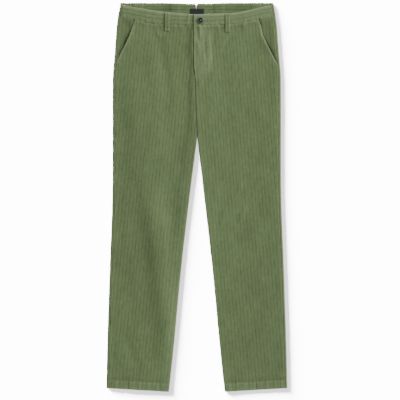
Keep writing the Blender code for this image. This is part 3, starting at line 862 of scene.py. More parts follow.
def corduroyMaterial(name, brightness=1.0, grooves=1.0):
    material, graph, surface = newMaterial(name, {
        "Metallic": 0.0, "Specular IOR Level": 0.15, "Sheen Weight": corduroy["sheen"],
        "Sheen Roughness": 0.45, "Sheen Tint": (0.80, 0.88, 0.66, 1),
    })
    across, along = split(graph, graph.add("ShaderNodeUVMap", {"uv_map": "grain"}, {}))

    def grainNoise(acrossScale, alongScale, detail, rough=0.5, depth=0.0):
        place = graph.add("ShaderNodeCombineXYZ", {}, {
            "X": across * acrossScale, "Y": along * alongScale, "Z": depth,
        })
        return noiseAt(graph, place, 1.0, detail, rough)

    phase = across * (math.tau / wales["pitch"])
    groove, third = hollow(phase, 2.5), hollow(phase / 3, 4)
    streak = grainNoise(330, 42, 3.0, 0.6)
    fibre = grainNoise(2600, 900, 3.0, 0.65)
    patch = grainNoise(75, 24, 2.0, depth=7.0)
    place = objectPlace(graph)
    cloud = noiseAt(graph, stretched(graph, place, (26, 11, 26)), 1.0, 3.0, 0.6)
    mottle = noiseAt(graph, place, 105.0, 2.0, 0.6)
    third = third * (0.1 + 1.8 * patch)
    wearAndHighlight = graph.add("ShaderNodeAttribute", {"attribute_name": "wearAndHighlight"}, {}, "Fac")
    shade = graph.add("ShaderNodeAttribute", {"attribute_name": "shade"}, {}, "Fac")
    lift = 0.60 + 0.65 * (streak - 0.5) + 0.30 * (fibre - 0.5)
    lift = lift + 0.46 * (cloud - 0.5) + 0.30 * (mottle - 0.5)
    # painted shade: the grooves are darkened towards the deep colour, every third one more
    dip = (groove * (0.16 + 0.15 * third) + 0.14 * third) * grooves
    colour = mixColour(graph, clamped(graph, lift - dip), corduroy["deep"], corduroy["nap"])
    # paler where worn, and where highlights are painted on lit edges
    paleShare = clamped(graph, wearAndHighlight * (0.2 + 0.9 * streak + 0.8 * mottle))
    colour = mixColour(graph, paleShare, colour, corduroy["pale"])
    # painted shade: the shade attribute, and the brightness of the darker copies, darken the colour
    tone = clamped(graph, brightness * (1 - shade), 2.0)
    colour = graph.add("ShaderNodeVectorMath", {"operation": "SCALE"}, {0: colour, "Scale": tone})
    feed(graph, surface, "Base Color", colour)
    feed(graph, surface, "Roughness", corduroy["roughness"] - 0.12 * fibre)
    feedBump(graph, surface, 0.55, 0.35 * mm, fibre + 0.7 * streak)
    return material


def threadMaterial(name, colour):
    material, graph, surface = newMaterial(name, {
        "Metallic": 0.0, "Roughness": 0.75, "Specular IOR Level": 0.3, "Sheen Weight": 0.2,
    })
    twist = graph.add("ShaderNodeTexWave", {"wave_type": "BANDS", "bands_direction": "DIAGONAL"}, {
        "Vector": objectPlace(graph), "Scale": 1400.0, "Distortion": 1.5, "Detail": 1.0,
    }, 1)
    dark = tuple(value * 0.72 for value in colour[:3]) + (1,)
    feed(graph, surface, "Base Color", mixColour(graph, twist, dark, colour))
    feedBump(graph, surface, 0.4, 0.1 * mm, twist)
    return material


tape = {
    "warp": 0.5 * mm,
    "weft": 0.42 * mm,
    "dark": (0.007, 0.007, 0.008, 1),
    "light": (0.023, 0.023, 0.025, 1),
}


def tapeMaterial():
    # black woven tape with a fine warp and weft
    material, graph, surface = newMaterial("blackTape", {
        "Metallic": 0.0, "Specular IOR Level": 0.2, "Sheen Weight": 0.04,
    })
    place = objectPlace(graph)
    x, y = split(graph, place)
    warp = (x * (math.tau / tape["warp"])).cosine()
    weft = (y * (math.tau / tape["weft"])).cosine()
    weave = (warp * weft + 1) * 0.5
    fuzz = noiseAt(graph, place, 900.0)
    colour = mixColour(graph, weave * 0.7 + 0.3 * fuzz, tape["dark"], tape["light"])
    feed(graph, surface, "Base Color", colour)
    feed(graph, surface, "Roughness", 0.65 + 0.2 * fuzz)
    feedBump(graph, surface, 0.6, 0.12 * mm, weave)
    return material


horn = {
    "dish": ((0.002, 0.003, 0.004, 1), (0.020, 0.024, 0.026, 1)),    # darkest and lightest veins
    # the rim's paler colour: the horn's translucent edge, and painted highlight and reflection
    "rim": ((0.060, 0.068, 0.056, 1), (0.150, 0.165, 0.135, 1)),
    "turn": (0.80, 0.93),      # shares of the radius between which the dish turns into the rim
}


def hornMaterial():
    material, graph, surface = newMaterial("horn", {
        "Metallic": 0.0, "Specular IOR Level": 0.14, "Coat Weight": 0.02, "Coat Roughness": 0.25,
    })
    place = objectPlace(graph)
    drawn = graph.add("ShaderNodeMapping", {}, {
        "Vector": place, "Scale": (1.0, 3.2, 1.0), "Rotation": (0, 0, 0.5),
    })
    vein = noiseAt(graph, drawn, 190.0, 5.0, 0.6)
    low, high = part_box("button")
    out = graph.add("ShaderNodeVectorMath", {"operation": "DISTANCE"}, {
        0: stretched(graph, place, (1, 1, 0)), 1: ((low.x + high.x) / 2, (low.y + high.y) / 2, 0),
    }, "Value")
    rim = graph.add("ShaderNodeMapRange", {}, {
        "Value": out / ((high.x - low.x) / 2), "From Min": horn["turn"][0], "From Max": horn["turn"][1],
    })
    dark, pale = (mixColour(graph, vein, *horn[part]) for part in ("dish", "rim"))
    feed(graph, surface, "Base Color", mixColour(graph, rim, dark, pale))
    feed(graph, surface, "Roughness", 0.42 + 0.2 * vein)
    return material


finishes = {
    "cord": corduroyMaterial("corduroy"),
    # the facing copy is darker: painted shade on the facings, recessed under the front's edges
    "facing": corduroyMaterial("corduroyFacing", 0.93),
    "inside": corduroyMaterial("corduroyInside", 0.95, 0.35),
    "band": corduroyMaterial("corduroyBand", 1.0, 1.7),
    "lining": corduroyMaterial("corduroyLining", 0.97, 1.4),
    "thread": threadMaterial("thread", (0.17, 0.215, 0.105, 1)),
    "greyThread": threadMaterial("buttonholeThread", (0.17, 0.21, 0.155, 1)),
    "paleThread": threadMaterial("buttonThread", (0.30, 0.33, 0.30, 1)),
    "tape": tapeMaterial(),
    "horn": hornMaterial(),
}
wallTree = waleTree()
sewingTree = stitchTree()
garment = []


def declare(obj, nodes):
    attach(obj, "root")
    if nodes:
        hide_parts(*nodes)
    garment.append(obj)


def clothPiece(name, side, facing, grid, along, nodes, wearAndHighlight=0, shade=0, wall=leg["wall"], finish="cord",
               lining="inside", depth=None, third=0.5, ribbedLining=0.0):
    # a grid made cloth, with its wales and its wall: facing is 1 where its outer face looks up, else -1
    mesh = meshOfGrid(name, side, *grid, along, wearAndHighlight, shade)
    lookUp = sum(face.normal.z * face.area for face in mesh.polygons)
    if (lookUp > 0) != (facing > 0):
        mesh.flip_normals()
    obj = newObject(name, mesh)
    for key in (finish, lining):
        mesh.materials.append(finishes[key])
    obj.vertex_groups.new(name="inside")
    solidify = obj.modifiers.new("wall", "SOLIDIFY")
    solidify.thickness, solidify.offset = wall, -1
    solidify.use_even_offset = False
    solidify.material_offset = 1
    solidify.shell_vertex_group = "inside"
    addNodes(obj, wallTree, {
        "Pitch": wales["pitch"], "Depth": wales["depth"][side] if depth is None else depth,
        "Third": third, "Wander": 0.5, "Lining": ribbedLining, "Material": finishes[finish],
    })
    settle(obj)
    obj.vertex_groups.clear()
    smooth(obj, 62)
    declare(obj, nodes)


print("node trees and materials ready")


# fronts and backs

def distances(lines, across, station):
    # how far the places of a panel are from its four edge lines
    return {
        "top": station - lines["top"](across),
        "bottom": lines["bottom"](across) - station,
        "inner": across - lines["inner"](station),
        "outer": lines["outer"](station) - across,
    }


def rolled(away, radii):
    # how far the cloth curves down at its edges: a radius for each
    return sum(rounding(away[edge], radius) for edge, radius in radii.items())


def paledAtEdges(away, edges):
    # how much paler the cloth is at its edges, from wear and at some edges from painted highlight: a strength
    # and a width for each
    return sum(
        strength * np.exp(-np.maximum(away[edge], 0) / width) for edge, (strength, width) in edges.items()
    )


def banded(away, edges):
    # soft bands along the edges: a strength, a distance and a width for each
    return sum(strength * bell(away[edge] - far, width) for edge, (strength, far, width) in edges.items())


def puckered(across, length, seed):
    return 0.6 + 0.5 * ripple(across / length, seed, 3)


def edgeOf(side, key):
    return lambda station: atStation(side, key, station)


def bandSeam(side):
    return lambda across: atAcross(side, "bandLower", across) + seamGap


frontPanel = {
    "rows": {"fine": 2 * mm, "plain": 8 * mm},
    "rolled": {"top": 0.7 * mm, "bottom": 0.8 * mm},
    "paledAtEdges": {
        left: {"bottom": (0.3, 2.4 * mm), "inner": (0.2, 2.2 * mm)},
        right: {"bottom": (0.3, 2.4 * mm), "inner": (0.6, 2.2 * mm)},
    },
    "waistRubbed": {"top": (0.8, 3.4 * mm)},
    "pocketRubbed": {left: {"outer": (1.0, 3 * mm)}, right: {"outer": (0.75, 3 * mm)}},
    "sideRubbed": {"outer": (0.35, 2.4 * mm)},
    "kneeRubbedAndLit": {"inner": (0.26, 9 * mm)},       # the left one, inside and below the knee: worn pale, and painted highlight where that edge faces the light
    "kneeSpan": (420 * mm, 560 * mm),
    # painted highlight on the raised fly
    "flyHighlight": 0.16,
    # how dark, and the stations between which that comes in
    "legShade": {left: (0.05, 900 * mm, 700 * mm), right: (0.035, 600 * mm, 850 * mm)},
    "shaded": {"bottom": (0.12, 5 * mm, 5 * mm), "top": (0.10, 9 * mm, 7 * mm)},
    "crotchShaded": {"inner": (0.5, 0, 2.2 * mm)},
    "crotchSpan": (195 * mm, 225 * mm, 370 * mm, 400 * mm),
}


def makeFront(side):
    name = sideName[side]
    lines = {
        "top": bandSeam(side), "bottom": lambda across: hemLine(side, 1, across) + seamLap,
        "inner": edgeOf(side, "front"), "outer": edgeOf(side, "open"),
    }

    def level(across, station):
        away = distances(lines, across, station)
        return frontLevel(side, across, station) - rolled(away, frontPanel["rolled"])

    nominal = np.concatenate([
        edgeRows(leg["frontTop"], leg["fineEnd"], frontPanel["rows"]["fine"], closeEnd=False)[:-1],
        edgeRows(leg["fineEnd"], hemStart, frontPanel["rows"]["plain"], closeStart=False),
    ])
    grid = panelGrid(side, 1, nominal, lines, level, True, False)
    across, station = grid[:2]
    away = distances(lines, across, station)
    wearAndHighlight = paledAtEdges(away, frontPanel["waistRubbed"]) * puckered(across, 3.4 * mm, side + 61)
    wearAndHighlight = wearAndHighlight + paledAtEdges(away, frontPanel["paledAtEdges"][side])
    beside = paledAtEdges(away, frontPanel["pocketRubbed"][side])
    wearAndHighlight = wearAndHighlight + np.where(station < pocketEnd, beside, paledAtEdges(away, frontPanel["sideRubbed"]))
    dark, start, end = frontPanel["legShade"][side]
    shade = banded(away, frontPanel["shaded"]) + dark * ease(station, start, end)
    shade = shade + banded(away, frontPanel["crotchShaded"]) * window(station, *frontPanel["crotchSpan"])
    if side == right:
        # painted highlight on the raised fly
        wearAndHighlight = wearAndHighlight + frontPanel["flyHighlight"] * flyCover(across, station)
    else:
        # worn pale and painted highlight along the left inner edge below the knee
        wearAndHighlight = wearAndHighlight + paledAtEdges(away, frontPanel["kneeRubbedAndLit"]) * ease(station, *frontPanel["kneeSpan"])
        shade = shade + 0.26 * bell(across - 14 * mm, 7 * mm) * bell(station - 86 * mm, 34 * mm)
    clothPiece(f"frontLeg_{name}", side, 1, grid, station, [f"front_{name}"], wearAndHighlight, shade)


backPanel = {
    "rows": 8.5 * mm,
    "margin": (8 * mm, 40 * mm),        # from an edge, where its folds fade
    "crease": 0.5 * mm,
    "rolled": {"top": 1.1 * mm, "bottom": 1.1 * mm},
    "paledAtEdges": {"top": (0.3, 2.4 * mm), "inner": (0.3, 2.4 * mm)},
    "sideWorn": {left: {"outer": (0.4, 0, 1.5 * mm)}, right: {"outer": (0.4, 0, 4 * mm)}},
}


def makeBack(side):
    name = sideName[side]
    lines = {
        "top": lambda across: band["backSeam"] - seamLap + 0 * across,
        "bottom": lambda across: hemLine(side, -1, across) + seamLap,
        "inner": edgeOf(side, "back"), "outer": edgeOf(side, "outer"),
    }

    def level(across, station):
        away = distances(lines, across, station)
        inside = ease(away["inner"], *backPanel["margin"]) * ease(away["outer"], *backPanel["margin"])
        crease = 0.5 + 0.5 * ripple(station / (70 * mm) + across / (90 * mm), side + 12)
        rise = backPanel["crease"] * crease ** 2 + foldHeight("seat", side * across, station)
        room = np.maximum(frontLevel(side, across, station) - 2 * leg["wall"] - 0.2 * mm, 0)
        return inside * room * np.tanh(rise / np.maximum(room, 0.1 * mm)) + rolled(away, backPanel["rolled"])

    nominal = edgeRows(band["backSeam"], hemStart, backPanel["rows"])
    grid = panelGrid(side, -1, nominal, lines, level, True, True)
    across, station = grid[:2]
    away = distances(lines, across, station)
    wearAndHighlight = banded(away, backPanel["sideWorn"][side]) + paledAtEdges(away, backPanel["paledAtEdges"])
    clothPiece(f"backLeg_{name}", side, -1, grid, station, [f"back_{name}"], wearAndHighlight)


hemPanel = {
    "rows": 4 * mm,
    "rolled": {"top": 0.9 * mm, "bottom": 1.3 * mm},
    "paledAtEdges": {"top": (0.2, 2.4 * mm), "bottom": (0.3, 2.4 * mm)},
    "wearAndHighlight": 0.09,
    "pucker": (0.35 * mm, 12 * mm),     # how high, and how far down from its seam
}


def makeHem(side, facing):
    # the hem is turned up inside, and stands a little proud of the leg
    name, panel = sideName[side], "front" if facing > 0 else "back"
    lines = {
        "top": lambda across: hemLine(side, facing, across),
        "bottom": lambda across: atAcross(side, "hemLower", across),
        "inner": edgeOf(side, panel), "outer": edgeOf(side, "open" if facing > 0 else "outer"),
    }

    def level(across, station):
        away = distances(lines, across, station)
        down = rolled(away, hemPanel["rolled"])
        if facing < 0:
            return down
        proud = leg["hemRaise"] * ease(sideLine(side, station) - across, 0, 10 * mm)
        puckers = pucker(across, away["top"], side + 21, *hemPanel["pucker"])
        return frontLevel(side, across, station) + proud + puckers - down

    nominal = edgeRows(hemStart, trouserLength, hemPanel["rows"])
    grid = panelGrid(side, facing, nominal, lines, level, True, facing < 0)
    across, station = grid[:2]
    away = distances(lines, across, station)
    wearAndHighlight = hemPanel["wearAndHighlight"] + paledAtEdges(away, hemPanel["paledAtEdges"])
    clothPiece(f"hem{panel.title()}_{name}", side, facing, grid, station, [f"hem_{panel}_{name}"], wearAndHighlight,
               wall=leg["hemWall"])


# waistband

def bandHeight(side, across, share):
    x = side * across
    lapped = ease(x, band["overEnd"] - 6 * mm, band["overEnd"]) if side == left else 0
    crown = band["crown"] * np.sin(math.pi * share) * (1 - lapped)
    roll = band["pucker"] * ripple(x / (4.2 * mm), side + 31, 4) * (0.25 + share ** 3) * (1 - lapped)
    return bandLevel(side, x) + crown + roll


def rowsOf(width):
    # shares from edge to edge on the lines of the wales
    count = int(width / waleStep)
    shares = np.arange(1, count) / count
    ends = np.array([0, 0.012, 0.024])
    return np.concatenate([ends, shares[shares > 0.03][:-1], 1 - ends[::-1]])[:, None]


def loopShade(side, across, station):
    beside = np.abs(side * across - loops["front"][side]) - loops["width"] / 2
    return bell(beside - 1 * mm, 1.6 * mm) * window(station, 22 * mm, 30 * mm, 80 * mm, 86 * mm)


def makeFrontBand(side):
    name = sideName[side]
    shares = rowsOf(band["width"])
    end = -band["underEnd"] if side == left else band["overEnd"]
    columns = np.linspace(0, 1, band["columns"]["front"])[None, :]
    across = sideLine(side, 20 * mm) + 0 * shares * columns
    for _ in range(band["rounds"]):
        upper, lower = atAcross(side, "bandUpper", across), atAcross(side, "bandLower", across)
        station = blend(upper, lower, shares)
        across = blend(sideLine(side, station), end, columns)
    away = {
        "top": station - upper, "bottom": lower - station,
        "inner": across - end, "outer": sideLine(side, station) - across,
    }
    height = bandHeight(side, across, shares) - rolled(away, band["rolled"])
    # the pale top edge is wear and painted highlight
    wearAndHighlight = band["wearAndHighlight"][side] + paledAtEdges(away, band["paledAtEdges"])
    wearAndHighlight = wearAndHighlight + paledAtEdges(away, band["seamRubbed"]) * puckered(across, 3.8 * mm, side + 63)
    if side == left:
        height = height + 1.1 * mm * bell(side * across + 25 * mm + 0.25 * (station - 48 * mm), 3.5 * mm)
    else:
        wearAndHighlight = wearAndHighlight + paledAtEdges(away, band["endRubbed"])
    grid = (across, station, height, shares * band["width"] + 0 * across)
    clothPiece(f"bandFront_{name}", side, 1, grid, across, [f"waistband_front_{name}"], wearAndHighlight,
               0.10 * loopShade(side, across, station), wall=band["wall"], finish="band", lining="lining",
               third=0.8, ribbedLining=1.0)


def backEdge(across):
    # the back waist edge dips towards the middle
    return band["dip"] * (1 - ease(across, 10 * mm, 100 * mm))


def makeBackBand(side):
    name = sideName[side]
    width = band["backSeam"] - seamGap / 2
    shares = rowsOf(width)
    plain, wrapped = band["columns"]["back"], band["columns"]["wrapped"]
    run = np.concatenate([np.zeros(plain), np.linspace(0, wrapArc + wrapStraight, wrapped)[1:]])[None, :]
    part = np.concatenate([np.linspace(0, 1, plain), np.ones(wrapped - 1)])[None, :]
    station = shares * width + 0 * part
    low = atAcross(side, "bandUpper", bandSide)
    for _ in range(band["rounds"]):
        inner, outer = atStation(side, "bandInner", station), atStation(side, "outer", station) - foldRadius
        flat = blend(inner, outer, part)
        edge = backEdge(flat) + low * ease(run, 0.4 * wrapArc, wrapArc + wrapStraight)
        station = blend(edge, width, shares)
    angle = np.minimum(run, wrapArc) / foldRadius
    across = flat + foldRadius * np.sin(angle) - np.maximum(run - wrapArc, 0)
    rise = sum(1 - ease(np.abs(flat - loop), 7.5 * mm, 18 * mm) for loop in loops["back"])
    beyond = (across - inner) + (run > 0)      # only the flat part has an inner edge
    away = {"top": station - edge, "bottom": width - station, "inner": beyond}
    swell = 0.35 * mm * (1 + ripple(flat / (21 * mm), side + 41)) * np.sin(math.pi * shares)
    height = foldRadius * (1 - np.cos(angle)) + np.cos(angle) * rolled(away, band["backRolled"])
    height = height + (loops["rise"] * rise + swell) * (run == 0)
    grid = (across, station, height, shares * width + 0 * across)
    wearAndHighlight = paledAtEdges(away, band["backRubbed"]) + 0.35 * bell(station - 7 * mm, 1.4 * mm)
    x = side * across
    shade = 0.05 + 0.16 * bell(x + 82 * mm, 28 * mm) + 0.16 * bell(x - 124 * mm, 30 * mm)
    clothPiece(f"bandBack_{name}", side, -1, grid, flat + run, [f"waistband_back_{name}"], wearAndHighlight, shade,
               wall=band["wall"], lining="lining", ribbedLining=1.0)


# pockets, fly and loops

def makePocket(side):
    name = sideName[side]
    opening = edgeOf(side, "open")
    outer = lambda station: sideLine(side, station)
    lines = {
        "top": bandSeam(side), "bottom": lambda across: pocketEnd + 0 * across, "outer": outer,
        "inner": lambda station: np.minimum(opening(station), outer(station)) - pocket["underlap"],
    }

    def level(across, station):
        away = distances(lines, across, station)
        dip = pocket["dip"][side] * ease(away["outer"], 0, 24 * mm)
        low = 2 * foldRadius - dip + 0.25 * mm * ripple(station / (14 * mm) + across / (19 * mm), side + 51)
        low = low - pocket["sink"] * ease(station, pocketEnd - 15 * mm, pocketEnd - 3 * mm)
        shown = ease(across - opening(station), 0.5 * mm, 6 * mm)
        sewn = bell(np.maximum(away["top"], 0), 14 * mm) * shown
        return blend(low, bandLevel(side, side * across) - 0.4 * mm, sewn)

    nominal = edgeRows(band["backSeam"], pocketEnd, 3 * mm)
    grid = panelGrid(side, 1, nominal, lines, level, False, False)
    across, station = grid[:2]
    past = np.maximum(across - opening(station), 0)
    wearAndHighlight = paledAtEdges(distances(lines, across, station), pocket["paledAtEdges"])
    # painted shade in the pocket's opening, beside the front's edge
    slitShade = sum(deep * bell(station - middle, reach) for middle, reach, deep in pocket["slitShades"][side])
    shade = slitShade * bell(past, pocket["slitShadeWidth"][side]) + pocket["shade"][side]
    clothPiece(f"pocketFacing_{name}", side, 1, grid, station, [f"pocket_facing_{name}"], wearAndHighlight, shade,
               wall=pocket["wall"], finish="facing", depth=0.15 * mm)


def makeFlyFacing():
    rows, columns = np.linspace(0, 1, 70)[:, None], np.linspace(0, 1, 36)[None, :]
    station = blend(bandSeam(right)(0), fly["turn"] + 0.75 * fly["turnLength"], rows)
    drop = np.maximum(station - fly["turn"], 0) / fly["turnLength"]
    inner = atStation(right, "front", station) + 0.8 * mm
    across = blend(inner, fly["edge"] + fly["facing"] * np.sqrt(1 - drop ** 2), columns)
    station = station + 0 * across
    grid = (across, station, fly["facingLevel"] + 0 * across, waleOf(right, across, station))
    clothPiece("flyFacing", right, 1, grid, station, ["fly_facing"], wall=1 * mm, finish="facing")


def loopPlaces(rows):
    # distances from a loop's middle line, and shares of its length
    reach = loops["width"] / 2
    return np.linspace(-reach, reach, 25)[None, :], np.linspace(0, 1, rows)[:, None]


def bothEnds(share, length, radius):
    return rounding(share * length, radius) + rounding((1 - share) * length, radius)


def makeFrontLoop(side):
    name = sideName[side]
    u, share = loopPlaces(70)
    middle = side * loops["front"][side]
    across = middle + u * (1 + 0.03 * np.sin(9 * share)) + 0 * share
    station = atAcross(side, "bandUpper", middle) + loops["start"] + share * loops["length"] + 0 * u
    upper, lower = atAcross(side, "bandUpper", across), atAcross(side, "bandLower", across)
    onBand = bandHeight(side, across, np.clip((station - upper) / (lower - upper), 0, 1))
    onLeg = frontLevel(side, across, np.maximum(station, lower))
    under = np.maximum(blend(onBand, onLeg, ease(station - lower, 3 * mm, 14 * mm)), onLeg) + loops["clear"]
    bow = loops["bow"] * np.sin(math.pi * share) ** 2
    level = under.max(axis=1, keepdims=True) * 0.6 + under * 0.4 + loops["wall"] + bow
    tacked = loops["tacked"] * (bell(share, 0.05) + bell(1 - share, 0.05))
    away = {
        "sides": loops["width"] / 2 - np.abs(u) + 0 * share,
        "top": share * loops["length"],
        "bottom": (1 - share) * loops["length"],
    }
    level = level - tacked - rounding(away["sides"], loops["rolled"]["sides"])
    level = level - bothEnds(share, loops["length"], loops["rolled"]["ends"])
    grid = (across, station, level, u + 0 * share)
    wearAndHighlight = paledAtEdges(away, loops["paledAtEdges"])
    clothPiece(f"loopFront_{name}", side, 1, grid, station, [f"belt_loop_front_{name}"], wearAndHighlight,
               wall=loops["wall"] * 0.8, lining="cord")


def makeBackLoops(side):
    name = sideName[side]
    u, share = loopPlaces(46)
    station = blend(1.5 * mm, band["backSeam"] - 1 * mm, share) + 0 * u
    level = rounding(loops["width"] / 2 - np.abs(u), loops["backRolled"])
    level = level + bothEnds(share, loops["backLength"], loops["backRolled"])
    for number, middle in enumerate(loops["back"], 1):
        grid = (middle + u + 0 * share, station, level, u + 0 * share)
        clothPiece(f"loopBack_{name}_{number}", side, -1, grid, station,
                   [f"belt_loop_back_{name}_{number}"], 0.3, wall=0.9 * mm, lining="cord", depth=0.2 * mm)


for side in sideName:
    makeFront(side)
    makeBack(side)
    for facing in (1, -1):
        makeHem(side, facing)
    makeFrontBand(side)
    makeBackBand(side)
    makePocket(side)
    makeFrontLoop(side)
    makeBackLoops(side)
makeFlyFacing()
print("cloth made")


# label and button

wovenLabel = {
    "lift": 0.5 * mm,
    "wave": 0.25 * mm,
    "folded": 0.5 * mm,         # how round its folded ends are, and then its woven edges
    "woven": 0.4 * mm,
    "wall": 0.5 * mm,
}


def makeLabel():
    # a bare woven label with its ends folded under
    low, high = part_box("label")
    columns, rows = np.linspace(0, 1, 60)[None, :], np.linspace(0, 1, 40)[:, None]
    across = blend(low.x, high.x, columns) + 0 * rows
    station = waistY - blend(high.y, low.y, rows) + 0 * columns
    level = high.z + wovenLabel["lift"] + wovenLabel["wave"] * np.sin(2.4 * math.pi * columns + 1.5 * rows)
    level = level - bothEnds(columns, high.x - low.x, wovenLabel["folded"])
    level = level - bothEnds(rows, high.y - low.y, wovenLabel["woven"])
    grid = (across, station, level, 0 * across)
    clothPiece("labelTape", right, 1, grid, station, ["label"], wall=wovenLabel["wall"], finish="tape",
               lining="tape", depth=0.0)


def onCircle(centre, radius, angle, height):
    return (centre[0] + radius * math.cos(angle), centre[1] + radius * math.sin(angle), height)


def ringFaces(rings, steps):
    # the quads between neighbouring rings, and a face over each end
    faces = []
    for start in range(0, (rings - 1) * steps, steps):
        for step in range(steps):
            here, after = start + step, start + (step + 1) % steps
            faces.append((here, after, after + steps, here + steps))
    faces.append(tuple(range(steps))[::-1])
    faces.append(tuple(range((rings - 1) * steps, rings * steps)))
    return faces


def lathe(name, profile, centre, steps=72):
    verts = [
        onCircle(centre, radius, step * math.tau / steps, centre[2] + height)
        for radius, height in profile for step in range(steps)
    ]
    mesh = bpy.data.meshes.new(name)
    mesh.from_pydata(verts, [], ringFaces(len(profile), steps))
    return newObject(name, mesh)


button = {
    # from the foot out over the rim and into the dish: shares of the radius and of the thickness
    "profile": ((0.60, 0), (0.86, 0.12), (0.97, 0.36), (1, 0.60), (0.975, 0.80), (0.92, 0.93),
                (0.85, 0.99), (0.78, 1), (0.72, 0.96), (0.67, 0.86), (0.63, 0.74), (0.58, 0.65),
                (0.50, 0.615), (0.30, 0.60)),
    "dish": 0.60,
    "holeRadius": 0.95 * mm,
    "holeOffset": 1.55 * mm,
    "thread": 0.6 * mm,
    "shifts": (-0.33, 0.33),    # two threads side by side in each hole, in mm
    "shank": 0.75 * mm,
    "turns": 5,
}


def makeButton():
    low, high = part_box("button")
    radius, thickness = (high.x - low.x) / 2, high.z - low.z
    centre = ((low.x + high.x) / 2, (low.y + high.y) / 2, low.z)
    profile = [(radius * across, thickness * height) for across, height in button["profile"]]
    obj = lathe("turnedButton", profile, centre)
    obj.data.materials.append(finishes["horn"])
    size = button["holeRadius"]
    places, holes = [], []
    for number in range(4):
        place = onCircle(centre, button["holeOffset"], math.pi / 4 + number * math.pi / 2, centre[2])
        hole = lathe("hole", [(size, -thickness), (size, 2 * thickness)], place, 20)
        cutter = obj.modifiers.new("hole", "BOOLEAN")
        cutter.operation, cutter.object = "DIFFERENCE", hole
        places.append(place[:2])
        holes.append(hole)
    settle(obj)
    for hole in holes:
        bpy.data.objects.remove(hole)
    smooth(obj, 38)
    declare(obj, ["button"])
    return centre, thickness, places


def tube(points, radius, sides=8):
    # vertices and faces of a closed tube along a few points
    points = [Vector(point) for point in points]
    verts = []
    for index, point in enumerate(points):
        ahead = (points[min(index + 1, len(points) - 1)] - points[max(index - 1, 0)]).normalized()
        first = ahead.cross(Vector((0.13, 0.21, 0.97))).normalized()
        second = ahead.cross(first)
        size = radius * (0.4 if index in (0, len(points) - 1) else 1)
        for step in range(sides):
            angle = step * math.tau / sides
            verts.append(point + (first * math.cos(angle) + second * math.sin(angle)) * size)
    return verts, ringFaces(len(points), sides)


def joined(name, parts, finish):
    verts, faces = [], []
    for more, quads in parts:
        faces += [tuple(vert + len(verts) for vert in quad) for quad in quads]
        verts += more
    mesh = bpy.data.meshes.new(name)
    mesh.from_pydata(verts, [], faces)
    mesh.materials.append(finishes[finish])
    mesh.shade_smooth()
    return newObject(name, mesh)


def makeButtonThread(centre, thickness, places):
    # a cross of thread through the four holes, and the shank wound under them
    parts = []
    dish = centre[2] + button["dish"] * thickness
    for first, second in ((0, 2), (1, 3)):
        (x1, y1), (x2, y2) = places[first], places[second]
        lift = (0.15 + 0.4 * (first == 1)) * mm
        for shift in button["shifts"]:
            aside = Vector((y2 - y1, x1 - x2, 0)).normalized() * shift * mm
            path = []
            for share in (0.06, 0.06, 0.14, 0.3, 0.5, 0.7, 0.86, 0.94, 0.94):
                height = dish + button["thread"] / 2 + lift if 0.1 < share < 0.9 else dish
                path.append(Vector((blend(x1, x2, share), blend(y1, y2, share), height)) + aside)
            path[0].z = path[-1].z = centre[2] + 0.2 * mm
            parts.append(tube(path, button["thread"] / 2))
    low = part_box("button_thread")[0].z
    for turn in range(button["turns"]):
        height = blend(low, centre[2], (turn + 0.5) / button["turns"])
        ring = [onCircle(centre, button["shank"], step * math.tau / 12, height) for step in range(13)]
        parts.append(tube(ring, button["thread"] / 2, 6))
    declare(joined("buttonThread", parts, "paleThread"), ["button_thread"])


makeLabel()
print("label made")


# stitches

sewing = {
    "pitch": 3.1 * mm,
    "length": 2.5 * mm,
    "thread": 0.55 * mm,
    "inset": 1.8 * mm,         # edge stitching, from the edge
    "pocketInset": 6.3 * mm,
    "hemInset": 2 * mm,
    "hemStation": 1060 * mm,   # where the hem rows take their width from
    "waistInset": 5.6 * mm,
    "loopRow": 4.6 * mm,       # from a loop's middle line
    "loopTack": 11 * mm,
    "pocketTack": 8 * mm,
    "pocketTackInset": 4.6 * mm,
    "pocketTacks": (61 * mm, 145 * mm),
    "pocketRow": (54 * mm, 150 * mm),
    "riseRow": (45 * mm, 330 * mm),
    "flyRow": 64 * mm,
    "flyEnd": (36 * mm, 60 * mm),
    "loopEnds": (1 * mm, 1 * mm),      # from the ends of a front loop
    "loopTacks": (3.2 * mm, 3 * mm),
    "backLoopRow": (2.5 * mm, 35.5 * mm),
    "backLoopTacks": (4 * mm, 34.4 * mm),
    "tackPitch": 0.5 * mm,
    "tackLength": 1.9 * mm,
    "sink": 0.12 * mm,         # into the cloth
    "bridge": 3,               # points either way over which a row passes the grooves
}
buttonhole = {
    "start": 15 * mm,
    "end": 31 * mm,
    "reach": 2.2 * mm,
    "pitch": 0.55 * mm,
    "length": 2.3 * mm,
}


def windows(values, reach):
    # the values as they are, and moved up to reach places either way
    padded = np.pad(values, reach, mode="edge")
    return [padded[shift:shift + len(values)] for shift in range(2 * reach + 1)]


def onCloth(path, up):
    # lays a path of (x, station) on whatever cloth comes first from above or below, bridging the grooves
    scene, graph = bpy.context.scene, bpy.context.evaluated_depsgraph_get()
    points = []
    for x, station in path:
        start = Vector((x, waistY - station, up * 0.2))
        hit, place = scene.ray_cast(graph, start, Vector((0, 0, -up)))[:2]
        points.append((x, waistY - station, place.z if hit else 0.0))
    points = np.array(points)
    highest = np.max(windows(points[:, 2] * up, sewing["bridge"]), axis=0)
    points[:, 2] = up * np.mean(windows(highest, sewing["bridge"]), axis=0)
    return points


def along(first, second, step=1.0 * mm):
    # places from one (x, station) to another
    count = max(int(math.dist(first, second) / step), 2)
    shares = np.linspace(0, 1, count)
    return [(blend(first[0], second[0], share), blend(first[1], second[1], share)) for share in shares]


